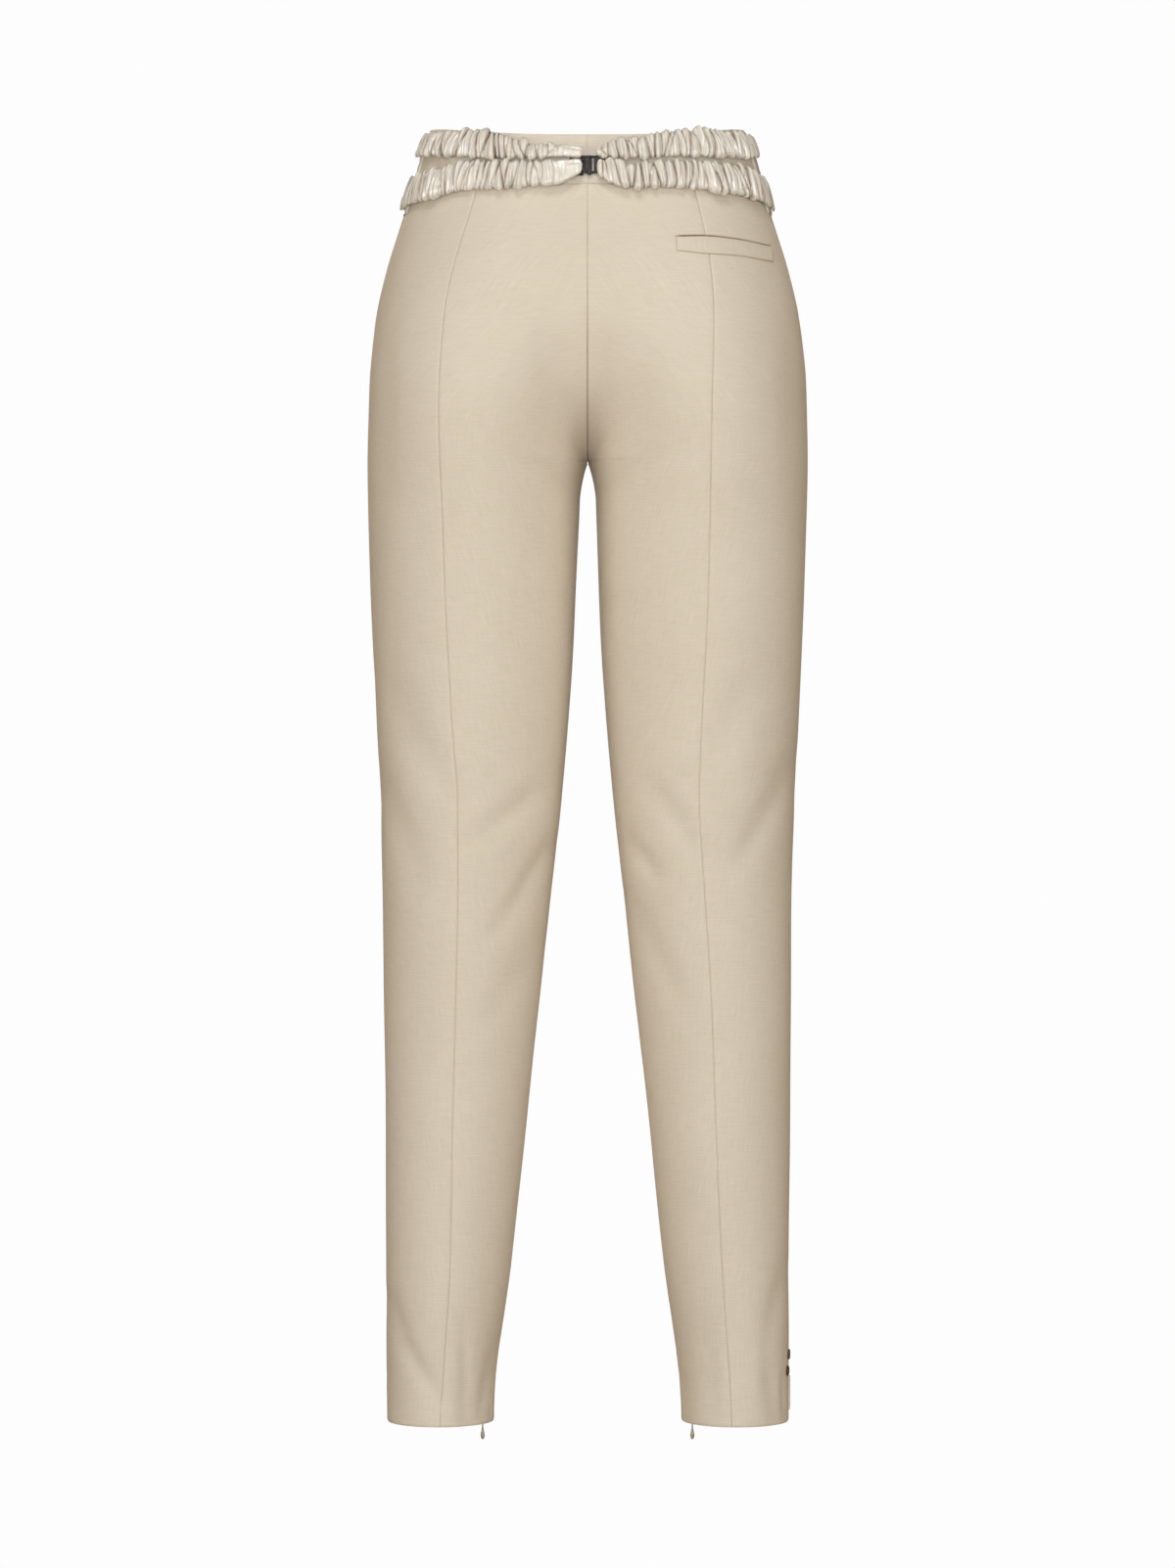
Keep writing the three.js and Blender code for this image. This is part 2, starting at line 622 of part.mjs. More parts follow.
// Carries a geometry made about the pin's middle (X along the pin, Y up) to its place.
function hung(geometry, place) {
  const basis = new THREE.Matrix4().makeBasis(place.round, place.up, place.round.clone().cross(place.up));
  basis.setPosition(pinPlace(place));
  return geometry.applyMatrix4(basis);
}

function pinPlace(place) {
  return place.at.clone()
    .addScaledVector(place.outward, -PIN.depth)
    .addScaledVector(place.up, PIN.height);
}

function buildSlider(place, back) {
  const { half, thick, low, high } = SLIDER;
  const ear = (from, to) => zipBox(
    place,
    [from, -PIN.depth - EAR.margin, EAR.low],
    [to, back, EAR.high],
  );
  const pin = new THREE.CylinderGeometry(PIN.radius, PIN.radius, EAR.from + EAR.to, PIN.sides);
  return joined([
    zipBox(place, [-half, back - thick, low], [half, back, high]),
    ear(-EAR.to, -EAR.from),
    ear(EAR.from, EAR.to),
    hung(pin.rotateZ(Math.PI / 2), place),
  ]);
}

function buildPull(place) {
  const ring = new THREE.Shape().absarc(0, 0, EYE.outer, 0, 2 * Math.PI);
  ring.holes.push(new THREE.Path().absarc(0, 0, EYE.inner, 0, 2 * Math.PI));
  const eye = new THREE.ExtrudeGeometry(ring, {
    depth: 2 * EYE.half, bevelEnabled: false, curveSegments: EYE.sides,
  });
  eye.translate(0, 0, -EYE.half);
  eye.rotateY(Math.PI / 2);
  const profile = DROP.map(([radius, down]) => new THREE.Vector2(radius, -down)).reverse();
  const drop = new THREE.LatheGeometry(profile, DROP_SIDES);
  return joined([hung(eye, place), hung(drop, place)]);
}

function buildAnkleZip(side, word) {
  const inside = -CLOTH - SEAM_GAP - FACET_SAG;
  add(`ankle_zip_${word}`, formWall(side, ZIP_HEIGHTS, 4, (z) => {
    const half = ZIP_HALF_WIDTH / cutAt(z).length;
    return [-half, half];
  }, inside, inside - TAPE), wool);
  const place = zipPlace();
  const back = inside - TAPE - SEAM_GAP - SLIDER.clearance;
  const mirror = new THREE.Matrix4().makeScale(side, 1, 1);
  const made = [[`zip_slider_${word}`, buildSlider(place, back)], [`zip_pull_${word}`, buildPull(place)]];
  for (const [name, geometry] of made) {
    let shown = geometry;
    if (side === RIGHT) {
      shown = geometry.toNonIndexed();
      shown.applyMatrix4(mirror);
      shown = reversed(shown);
    }
    add(name, shown, greige);
  }
}

// Turns every triangle of an unindexed geometry round.
function reversed(geometry) {
  const position = Array.from(geometry.attributes.position.array);
  for (let i = 0; i < position.length; i += 9) {
    for (let k = 0; k < 3; k += 1) {
      [position[i + 3 + k], position[i + 6 + k]] = [position[i + 6 + k], position[i + 3 + k]];
    }
  }
  const turned = new THREE.BufferGeometry();
  turned.setAttribute('position', new THREE.Float32BufferAttribute(position, 3));
  return turned;
}

// ---------------------------------------------------------------- ankle slit and buttons
const SLIT = { heights: [-967, -958, -949, -940.5], fromY: 4, toY: 10 };
const BUTTON = { radius: 4, thick: 1.2, sides: 20, lift: 0.5 };
const BUTTON_PLACES = { upper: [14, -923.5], lower: [19, -935.8] };

const outerAtY = (y, z) => solve((t) => surface(t, z).y - y, 0.35, 0.7);

function buildAnkleSlit() {
  add('ankle_slit_satin', formWall(RIGHT, SLIT.heights, 2, (z) => (
    [outerAtY(SLIT.fromY, z), outerAtY(SLIT.toY, z)]), LAID_ON + 1, LAID_ON), satin);
  for (const [word, [y, z]] of Object.entries(BUTTON_PLACES)) {
    const t = outerAtY(y, z);
    const outward = normal(t, z);
    const geometry = new THREE.CylinderGeometry(BUTTON.radius, BUTTON.radius, BUTTON.thick, BUTTON.sides);
    const turn = new THREE.Quaternion();
    outward.x *= RIGHT;
    turn.setFromUnitVectors(new THREE.Vector3(0, 1, 0), outward);
    geometry.applyQuaternion(turn);
    const centre = surface(t, z);
    centre.x *= RIGHT;
    centre.addScaledVector(outward, BUTTON.lift + BUTTON.thick / 2);
    const mesh = add(`ankle_button_${word}`, geometry, horn);
    mesh.position.copy(centre);
  }
}

// ---------------------------------------------------------------- assembly
for (const [side, word] of [[LEFT, 'left'], [RIGHT, 'right']]) {
  buildLeg(side, word);
  buildWaistband(side, word);
  buildBands(side, word);
  buildTab(side, word);
  buildAnkleZip(side, word);
}
buildWelt();
buildFlyZip();
buildClasp();
buildAnkleSlit();

export default trousers;
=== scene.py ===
"""Cigarette trousers, filled out and hollow, with ruched satin bands across the back waist.

The classes below hold their sizes in millimetres and make meshes in metres, in the frame of
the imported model: +Z up, +Y the back, +X the wearer's left.
"""
from __future__ import annotations

import json
import logging
import math
from dataclasses import dataclass, field
from enum import Enum
from typing import Callable, Sequence

import bmesh
import bpy
import numpy as np
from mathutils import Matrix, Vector

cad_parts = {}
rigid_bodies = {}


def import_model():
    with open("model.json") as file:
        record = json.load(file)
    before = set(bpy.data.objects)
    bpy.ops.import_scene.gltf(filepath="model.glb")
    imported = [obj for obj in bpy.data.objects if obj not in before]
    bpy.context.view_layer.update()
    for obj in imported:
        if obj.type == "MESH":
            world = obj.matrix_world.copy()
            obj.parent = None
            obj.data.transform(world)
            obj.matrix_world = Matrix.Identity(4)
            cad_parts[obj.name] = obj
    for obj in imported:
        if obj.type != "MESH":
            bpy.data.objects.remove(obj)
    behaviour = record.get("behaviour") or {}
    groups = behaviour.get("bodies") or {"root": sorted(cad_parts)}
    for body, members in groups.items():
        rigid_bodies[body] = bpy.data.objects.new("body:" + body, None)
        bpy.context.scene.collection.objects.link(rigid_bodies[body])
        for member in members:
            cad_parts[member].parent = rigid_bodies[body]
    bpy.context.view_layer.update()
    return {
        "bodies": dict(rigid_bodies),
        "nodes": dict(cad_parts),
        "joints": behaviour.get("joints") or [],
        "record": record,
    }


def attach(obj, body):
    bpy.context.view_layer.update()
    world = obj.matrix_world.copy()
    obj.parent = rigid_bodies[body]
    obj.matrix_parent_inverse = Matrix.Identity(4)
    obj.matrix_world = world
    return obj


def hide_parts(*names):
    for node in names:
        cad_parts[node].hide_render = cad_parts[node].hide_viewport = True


log = logging.getLogger("trousers")
MM = 0.001
Values = float | np.ndarray


class Side(Enum):
    """A side of the wearer, with the sign of its X."""

    LEFT = 1
    RIGHT = -1

    @property
    def word(self) -> str:
        """The side's name as the nodes write it."""
        return self.name.lower()


class Table:
    """Rows of named columns, read at any place by smooth, overshoot-free interpolation."""

    def __init__(self, columns: Sequence[str], rows: Sequence[Sequence[float]]) -> None:
        """Keeps the rows sorted by their first column.

        Args:
            columns: the columns' names, the first being the place.
            rows: the rows of numbers.
        """
        self.columns = list(columns)
        self.data = np.array(sorted(rows, key=lambda row: row[0]), dtype=float)

    def __call__(self, name: str, at: float | np.ndarray) -> np.ndarray:
        """Reads one column.

        Args:
            name: the column.
            at: one place or an array of them.

        Returns:
            The column's values there.
        """
        x = self.data[:, 0]
        y = self.data[:, self.columns.index(name)]
        step = np.diff(x)
        secant = np.diff(y) / step
        before, after = secant[:-1], secant[1:]
        same = before * after > 0
        total = np.where(same, before + after, 1.0)
        slope = np.zeros_like(x)
        slope[1:-1] = np.where(same, 2 * before * after / total, 0.0)
        place = np.clip(np.asarray(at, dtype=float), x[0], x[-1])
        i = np.clip(np.searchsorted(x, place, side="right") - 1, 0, len(x) - 2)
        u = (place - x[i]) / step[i]
        m, n = slope[i] * step[i], slope[i + 1] * step[i]
        return (
            (2 * u**3 - 3 * u**2 + 1) * y[i]
            + (u**3 - 2 * u**2 + u) * m
            + (3 * u**2 - 2 * u**3) * y[i + 1]
            + (u**3 - u**2) * n
        )


def mix(a: Values, b: Values, w: Values) -> Values:
    """Goes from a to b as w goes from 0 to 1."""
    return a + (b - a) * w


def smooth(v: Values) -> Values:
    """A soft step from 0 to 1."""
    c = np.clip(v, 0.0, 1.0)
    return c * c * (3 - 2 * c)


def quarter_turn(u: Values) -> Values:
    """Rises like a quarter of a circle, upright at 0 and level at 1."""
    return np.sqrt(1 - (1 - np.clip(u, 0.0, 1.0)) ** 2)


@dataclass
class Form:
    """The filled-out form of one leg and half the seat, in millimetres, for the left side."""

    hem_z: float = -975.5
    crotch_z: float = -237.0
    crotch_y: float = 8.0
    waist_seam_z: float = -18.0
    waist_top_z: float = 20.0
    dip_back: float = 11.5
    dip_front: float = 10.0
    dip_fade_z: float = -95.0
    rise_back: float = 150.0
    rise_front: float = 120.0
    arch: float = 28.0
    arch_point: float = 1.8
    crotch_fade: float = 60.0
    power: float = 0.95
    steps: int = 40
    sizes: Table = field(default_factory=lambda: Table(
        ["z", "outer", "inner", "front", "back", "frontAt", "backAt"],
        [
            [-975.5, 155.2, 72.4, -56, 56, 0.50, 0.50],
            [-850, 155.6, 58.5, -59.5, 60, 0.50, 0.50],
            [-741, 156.2, 46.9, -64, 64.5, 0.50, 0.50],
            [-650, 157.0, 36.7, -69, 68, 0.50, 0.50],
            [-559, 158.3, 26.9, -75.5, 73, 0.50, 0.50],
            [-499, 160.0, 20.4, -80, 78, 0.50, 0.50],
            [-438, 163.0, 14.8, -85, 83.5, 0.50, 0.50],
            [-385, 165.3, 11.2, -89, 89, 0.50, 0.50],
            [-332, 167.8, 8.7, -93, 95, 0.49, 0.50],
            [-287, 169.2, 6.8, -97, 101.5, 0.48, 0.49],
            [-237, 170.0, 5.0, -102.5, 111, 0.45, 0.48],
            [-196, 169.2, 5.0, -106.5, 118, 0.38, 0.46],
            [-173, 168.4, 5.0, -108.5, 119.5, 0.32, 0.44],
            [-147, 166.0, 5.0, -109, 119, 0.27, 0.40],
            [-120, 162.4, 5.0, -108, 116, 0.22, 0.35],
            [-86, 154.6, 5.0, -104, 110, 0.18, 0.26],
            [-60, 146.6, 5.0, -100, 104.5, 0.15, 0.20],
            [-31, 137.4, 5.0, -95.5, 99, 0.13, 0.15],
            [-18, 133.6, 5.0, -93, 97, 0.12, 0.12],
            [0, 128.4, 5.0, -90, 94, 0.12, 0.10],
            [20, 122.0, 5.0, -88, 90, 0.12, 0.10],
        ],
    ))
    seams: Table = field(default_factory=lambda: Table(
        ["z", "backLeft", "backRight", "sideY", "inseamTurn"],
        [
            [-975.5, 112.4, 109.9, 0, 19.5],
            [-920, 109.0, 107.0, 0, 7],
            [-870, 105.5, 103.5, 0, 0],
            [-842, 104.4, 101.9, 0, 0],
            [-760, 103.2, 98.4, 0, 0],
            [-640, 100.2, 93.8, 0, 0],
            [-560, 98.8, 88.5, 0, 0],
            [-500, 99.0, 84.8, 0, 0],
            [-440, 103.1, 86.8, 0, 0],
            [-350, 108.0, 91.2, 0, 0],
            [-280, 110.3, 92.9, 1, 0],
            [-200, 112.6, 94.1, 4, 0],
            [-128, 108.5, 95.6, 17, 0],
            [-80, 98.8, 92.0, 27, 0],
            [-40, 88.5, 85.0, 29, 0],
            [-18, 84.0, 81.0, 29, 0],
            [20, 84.0, 81.0, 29, 0],
        ],
    ))
    cuts: dict = field(default_factory=dict)

    def cut(self, z: float) -> tuple[np.ndarray, np.ndarray, float]:
        """Gives one half's level cut, from the inseam or front rise round to the back.

        Args:
            z: the height of the cut.

        Returns:
            The cut's points, each point's fraction t, and the cut's nominal length.
        """
        key = round(float(z), 3)
        if key not in self.cuts:
            self.cuts[key] = self._cut(key)
        return self.cuts[key]

    def _cut(self, z: float) -> tuple[np.ndarray, np.ndarray, float]:
        """Works out one level cut; see cut."""
        outer, spread, front, back, front_at, back_at = (
            float(self.sizes(n, z)) for n in ("outer", "inner", "front", "back", "frontAt", "backAt"))
        rise = z - self.crotch_z
        inner = 0.0 if rise >= 0 else spread * float(quarter_turn(-rise / self.arch)) ** self.arch_point
        front_x, back_x = mix(spread, outer, front_at), mix(spread, outer, back_at)
        middle = (front + back) / 2
        start = mix(self.crotch_y, middle, float(smooth(-rise / self.crotch_fade)))
        a = np.arange(self.steps) / self.steps * math.pi / 2

        def bowl(s: np.ndarray, reach: float) -> np.ndarray:
            """The rise seam's hollow, round the crotch point."""
            return quarter_turn(np.hypot(s, max(0.0, rise) / reach))

        near, far = 1 - np.cos(a), 1 - np.sin(a)
        xs = np.concatenate([
            mix(inner, front_x, near), mix(front_x, outer, np.sin(a) ** self.power),
            mix(back_x, outer, np.cos(a) ** self.power), mix(inner, back_x, far), [inner]])
        ys = np.concatenate([
            mix(start, front, bowl(near, self.rise_front)), mix(middle, front, np.cos(a) ** self.power),
            mix(middle, back, np.sin(a) ** self.power), mix(start, back, bowl(far, self.rise_back)),
            [mix(start, back, float(bowl(np.zeros(1), self.rise_back)[0]))]])
        points = np.stack([xs, ys], axis=1)
        opened = float(smooth(rise / self.rise_front))

        def oval(w: float, d: float) -> float:
            """About a quarter of an oval's length."""
            return math.pi / 2 * math.sqrt((w * w + d * d) / 2)

        shares = np.array([
            mix(oval(front_x - inner, middle - front), front_x, opened),
            oval(outer - front_x, middle - front),
            oval(outer - back_x, back - middle),
            mix(oval(back_x - inner, back - middle), back_x, opened),
        ])
        run = np.hypot(*np.diff(points, axis=0).T)
        fractions = [0.0]
        start = 0.0
        for k, share in enumerate(shares / shares.sum()):
            along = np.cumsum(run[k * self.steps:(k + 1) * self.steps])
            fractions.extend(start + share * along / along[-1])
            start += share
        return points, np.array(fractions), float(shares.sum())

    def dip(self, y: np.ndarray, z: float) -> np.ndarray:
        """How much the surface drops at depth y, because the waist runs lower there."""
        reach = np.where(y > 0, float(self.sizes("back", z)), float(self.sizes("front", z)))
        depth = np.where(y > 0, self.dip_back, self.dip_front)
        ramp = smooth((z - self.dip_fade_z) / (self.waist_seam_z - self.dip_fade_z))
        return -depth * (y / reach) ** 2 * ramp

    def row(self, t: np.ndarray, z: float) -> np.ndarray:
        """Gives surface points of the left half at one height.

        Args:
            t: fractions along the cut; they wrap below the crotch and mirror above it.
            z: the height.

        Returns:
            An array of points.
        """
        points, fractions, length = self.cut(z)
        t = np.asarray(t, dtype=float)
        if z <= self.crotch_z:
            s = (t - float(self.seams("inseamTurn", z)) / length) % 1.0
            flip = np.ones_like(s)
        else:
            s = np.where(t < 0, -t, np.where(t > 1, 2 - t, t))
            flip = np.where((t < 0) | (t > 1), -1.0, 1.0)
        x = np.interp(s, fractions, points[:, 0]) * flip
        y = np.interp(s, fractions, points[:, 1])
        return np.stack([x, y, z + self.dip(y, z)], axis=1)

    def t_where(self, test: Callable[[np.ndarray], np.ndarray], z: float, low: float, high: float) -> float:
        """Finds the t between two fractions where a test of the points changes sign."""
        t = np.linspace(low, high, 400)
        value = test(self.row(t, z))
        hits = np.flatnonzero(np.sign(value[:-1]) != np.sign(value[1:]))
        if len(hits) == 0:
            return float(t[np.argmin(np.abs(value))])
        i = hits[0]
        return float(mix(t[i], t[i + 1], value[i] / (value[i] - value[i + 1])))

    def side_t(self, z: float) -> float:
        """The side seam's t."""
        want = float(self.seams("sideY", z))
        return self.t_where(lambda p: p[:, 1] - want, z, 0.3, 0.72)

    def back_t(self, x: float, z: float) -> float:
        """The t of the back surface at a distance x from the middle."""
        t = np.linspace(0.3, 0.985, 400)
        outermost = float(t[np.argmax(self.row(t, z)[:, 0])])
        return self.t_where(lambda p: p[:, 0] - x, z, outermost, 0.985)

    def seam_t(self, z: float, side: Side) -> float:
        """The long back seam's t."""
        name = "backLeft" if side is Side.LEFT else "backRight"
        return self.back_t(float(self.seams(name, z)), z)

    def turn_t(self, degrees: float, z: float) -> float:
        """The t at a turn round the waist, from the centre back (0) to the side (90)."""
        want = math.radians(degrees)
        outer, back = float(self.sizes("outer", z)), float(self.sizes("back", z))
        return self.t_where(
            lambda p: np.arctan2(p[:, 0] / outer, p[:, 1] / back) - want, z, 0.05, 0.9999)

    def normal(self, t: float, z: float) -> np.ndarray:
        """The outward normal at one place."""
        dt = 3 / self.cut(z)[2]
        around = self.row(np.array([t + dt, t - dt]), z)
        above = self.row(np.array([t]), min(z + 3, self.waist_top_z))[0]
        below = self.row(np.array([t]), z - 3)[0]
        n = np.cross(around[0] - around[1], above - below)
        return n / np.linalg.norm(n)

    def level_of(self, z: float, t_at: Callable[[float], float]) -> float:
        """The form's own height at which its dipped surface reaches the real height z."""
        level = z
        for _ in range(6):
            level += z - float(self.row(np.array([t_at(level)]), level)[0, 2])
        return level


def unit(v: np.ndarray) -> np.ndarray:
    """Makes vectors one long."""
    return v / np.maximum(np.linalg.norm(v, axis=-1, keepdims=True), 1e-9)


def mesh_object(name: str, points: np.ndarray, quads: np.ndarray,
                uv: np.ndarray | None = None) -> bpy.types.Object:
    """Makes an object from points in millimetres.

    Args:
        name: the piece's name.
        points: the vertices.
        quads: four vertex numbers for each face.
        uv: one pair for each vertex, in metres along the cloth.

    Returns:
        The linked object, smooth shaded.
    """
    mesh = bpy.data.meshes.new(name)
    mesh.from_pydata((points * MM).tolist(), [], quads.tolist())
    if uv is not None:
        layer = mesh.uv_layers.new(name="cloth")
        loops = np.zeros(len(mesh.loops), dtype=np.int64)
        mesh.loops.foreach_get("vertex_index", loops)
        layer.data.foreach_set("uv", (uv[loops] * MM).ravel())
    mesh.shade_smooth()
    mesh.update()
    piece = bpy.data.objects.new(name, mesh)
    bpy.context.scene.collection.objects.link(piece)
    return piece


def mark_creases(piece: bpy.types.Object, crease: np.ndarray) -> None:
    """Stores how much painted shade each outer point gets, the same for the inner points.

    Args:
        piece: a closed wall with its outer points first.
        crease: how much painted shade, from 0 to 1, for each outer point.
    """
    # The painted shade is kept as a point attribute that the materials read.
    layer = piece.data.attributes.new("crease", "FLOAT", "POINT")
    layer.data.foreach_set("value", np.concatenate([crease.ravel()] * 2))


def shell(name: str, outer: np.ndarray, inner: np.ndarray, uv: np.ndarray, side: Side,
          crease: np.ndarray | None = None) -> bpy.types.Object:
    """Makes a closed wall from an outer and an inner grid of points.

    Args:
        name: the piece's name.
        outer: rows upwards, columns from the front round to the back.
        inner: the same grid, moved in.
        uv: one pair for each outer point.
        side: which side of the wearer; the right is the mirror image.
        crease: how much painted shade each outer point gets, from 0 to 1, most in creases and seams.

    Returns:
        The object.
    """
    rows, cols = outer.shape[:2]
    count = rows * cols
    points = np.concatenate([outer.reshape(-1, 3), inner.reshape(-1, 3)])
    points = points * np.array([side.value, 1, 1])
    n = np.arange(count).reshape(rows, cols)
    a, b, c, d = n[:-1, :-1], n[:-1, 1:], n[1:, 1:], n[1:, :-1]
    faces = [np.stack([a, b, c, d], axis=-1).reshape(-1, 4)]
    faces.append(np.stack([a, d, c, b], axis=-1).reshape(-1, 4) + count)
    for edge in (n[0, ::-1], n[:, 0], n[-1, :], n[::-1, -1]):
        p, q = edge[:-1], edge[1:]
        faces.append(np.stack([p, q, q + count, p + count], axis=-1))
    quads = np.concatenate(faces)
    if side is Side.RIGHT:
        quads = quads[:, ::-1]
    uv2 = np.concatenate([uv.reshape(-1, 2)] * 2)
    piece = mesh_object(name, points, quads, uv2)
    if crease is not None:
        mark_creases(piece, crease)
    return piece


# ------------------------------------------------------------------ materials
class Nodes:
    """A small helper that lays out one node tree."""

    def __init__(self, tree: bpy.types.NodeTree) -> None:
        """Starts on an emptied tree."""
        self.tree = tree
        tree.nodes.clear()

    def add(self, kind: str, inputs: dict | None = None, **settings) -> bpy.types.Node:
        """Adds a node.

        Args:
            kind: the node's type name.
            inputs: values or sockets by input name or number.
            settings: attributes of the node.

        Returns:
            The node.
        """
        node = self.tree.nodes.new(kind)
        for key, value in settings.items():
            setattr(node, key, value)
        for key, value in (inputs or {}).items():
            if isinstance(value, bpy.types.NodeSocket):
                self.tree.links.new(value, node.inputs[key])
            else:
                node.inputs[key].default_value = value
        return node

    def math(self, operation: str, a, b=0.0, clamp: bool = False) -> bpy.types.NodeSocket:
        """Adds a math node and gives its output."""
        return self.add("ShaderNodeMath", {0: a, 1: b}, operation=operation, use_clamp=clamp).outputs[0]


def linear(red: int, green: int, blue: int) -> tuple[float, float, float, float]:
    """Turns a colour as a screen shows it, 0 to 255, into a linear one."""
    def channel(v: int) -> float:
        """One channel."""
        s = v / 255
        return s / 12.92 if s <= 0.04045 else ((s + 0.055) / 1.055) ** 2.4
    return (channel(red), channel(green), channel(blue), 1.0)


def weave_group() -> bpy.types.NodeTree:
    """Builds the shared weave: threads both ways, with uneven slubs.

    Returns:
        A shader node group with Vector, Pitch and Slub inputs, and Height and Tone outputs.
    """
    tree = bpy.data.node_groups.new("weave", "ShaderNodeTree")
    face = tree.interface
    face.new_socket("Vector", in_out="INPUT", socket_type="NodeSocketVector")
    pitch = face.new_socket("Pitch", in_out="INPUT", socket_type="NodeSocketFloat")
    slub = face.new_socket("Slub", in_out="INPUT", socket_type="NodeSocketFloat")
    pitch.default_value, slub.default_value = 2500.0, 0.3
    face.new_socket("Height", in_out="OUTPUT", socket_type="NodeSocketFloat")
    face.new_socket("Tone", in_out="OUTPUT", socket_type="NodeSocketFloat")
    n = Nodes(tree)
    source = n.add("NodeGroupInput")
    split = n.add("ShaderNodeSeparateXYZ", {0: source.outputs["Vector"]})
    across = n.math("SINE", n.math("MULTIPLY", split.outputs[0], source.outputs["Pitch"]))
    along = n.math("SINE", n.math("MULTIPLY", split.outputs[1], source.outputs["Pitch"]))
    threads = n.math("MULTIPLY", across, along)
    long_fibre = n.add("ShaderNodeMapping", {"Vector": source.outputs["Vector"], "Scale": (60, 900, 1)})
    wide_fibre = n.add("ShaderNodeMapping", {"Vector": source.outputs["Vector"], "Scale": (900, 60, 1)})
    one = n.add("ShaderNodeTexNoise", {"Vector": long_fibre.outputs[0], "Scale": 1.0, "Detail": 3.0})
    two = n.add("ShaderNodeTexNoise", {"Vector": wide_fibre.outputs[0], "Scale": 1.0, "Detail": 3.0})
    fibre = n.math("SUBTRACT", n.math("ADD", one.outputs[0], two.outputs[0]), 1.0)
    slubs = n.math("MULTIPLY", fibre, source.outputs["Slub"])
    height = n.math("ADD", n.math("MULTIPLY", threads, 0.25), slubs)
    tone = n.math("ADD", n.math("MULTIPLY", fibre, 1.1), 0.5, clamp=True)
    n.add("NodeGroupOutput", {"Height": height, "Tone": tone})
    return tree


@dataclass(frozen=True)
class ClothFinish:
    """A woven finish: two close colours, a weave, a soft sheen, and a dark brown painted in as shade in
    creases and seams.
    """

    name: str
    light: tuple[float, float, float, float]
    dark: tuple[float, float, float, float]
    roughness: float
    sheen: float
    pitch: float
    slub: float
    bump: float
    # The dark brown painted into seams, grooves, the crotch and the pocket's mouth as shade.
    crease: tuple[float, float, float, float] = (0.25, 0.13, 0.045, 1.0)

    def build(self, weave: bpy.types.NodeTree) -> bpy.types.Material:
        """Makes the material.

        Args:
            weave: the shared weave group.

        Returns:
            The material.
        """
        material = bpy.data.materials.new(self.name)
        material.use_nodes = True
        n = Nodes(material.node_tree)
        place = n.add("ShaderNodeUVMap", uv_map="cloth")
        body = n.add("ShaderNodeTexCoord")
        woven = n.add("ShaderNodeGroup", node_tree=weave)
        n.tree.links.new(place.outputs[0], woven.inputs["Vector"])
        woven.inputs["Pitch"].default_value = self.pitch
        woven.inputs["Slub"].default_value = self.slub
        cloud = n.add("ShaderNodeTexNoise", {"Vector": body.outputs["Object"], "Scale": 14.0, "Detail": 4.0})
        blend = n.math("ADD", n.math("MULTIPLY", woven.outputs["Tone"], 0.6),
                       n.math("MULTIPLY", cloud.outputs[0], 0.4), clamp=True)
        tone = n.add("ShaderNodeMix", data_type="RGBA")
        tone.inputs[6].default_value = self.dark
        tone.inputs[7].default_value = self.light
        n.tree.links.new(blend, tone.inputs[0])
        # Painted shade: the colour is mixed towards the dark brown by the stored shade amount.
        painted_shade_amount = n.add("ShaderNodeAttribute", attribute_name="crease")
        shaded = n.add("ShaderNodeMix", {0: painted_shade_amount.outputs["Fac"], 6: tone.outputs[2]}, data_type="RGBA")
        shaded.inputs[7].default_value = self.crease
        bump = n.add("ShaderNodeBump", {"Strength": 1.0, "Distance": self.bump * MM,
                                        "Height": woven.outputs["Height"]})
        shader = n.add("ShaderNodeBsdfPrincipled", {
            "Base Color": shaded.outputs[2], "Roughness": self.roughness,
            "Sheen Weight": self.sheen, "Sheen Roughness": 0.5, "Sheen Tint": (1.0, 0.84, 0.62, 1.0),
            "Normal": bump.outputs[0], "Specular IOR Level": 0.12})
        n.add("ShaderNodeOutputMaterial", {"Surface": shader.outputs[0]})
        return material


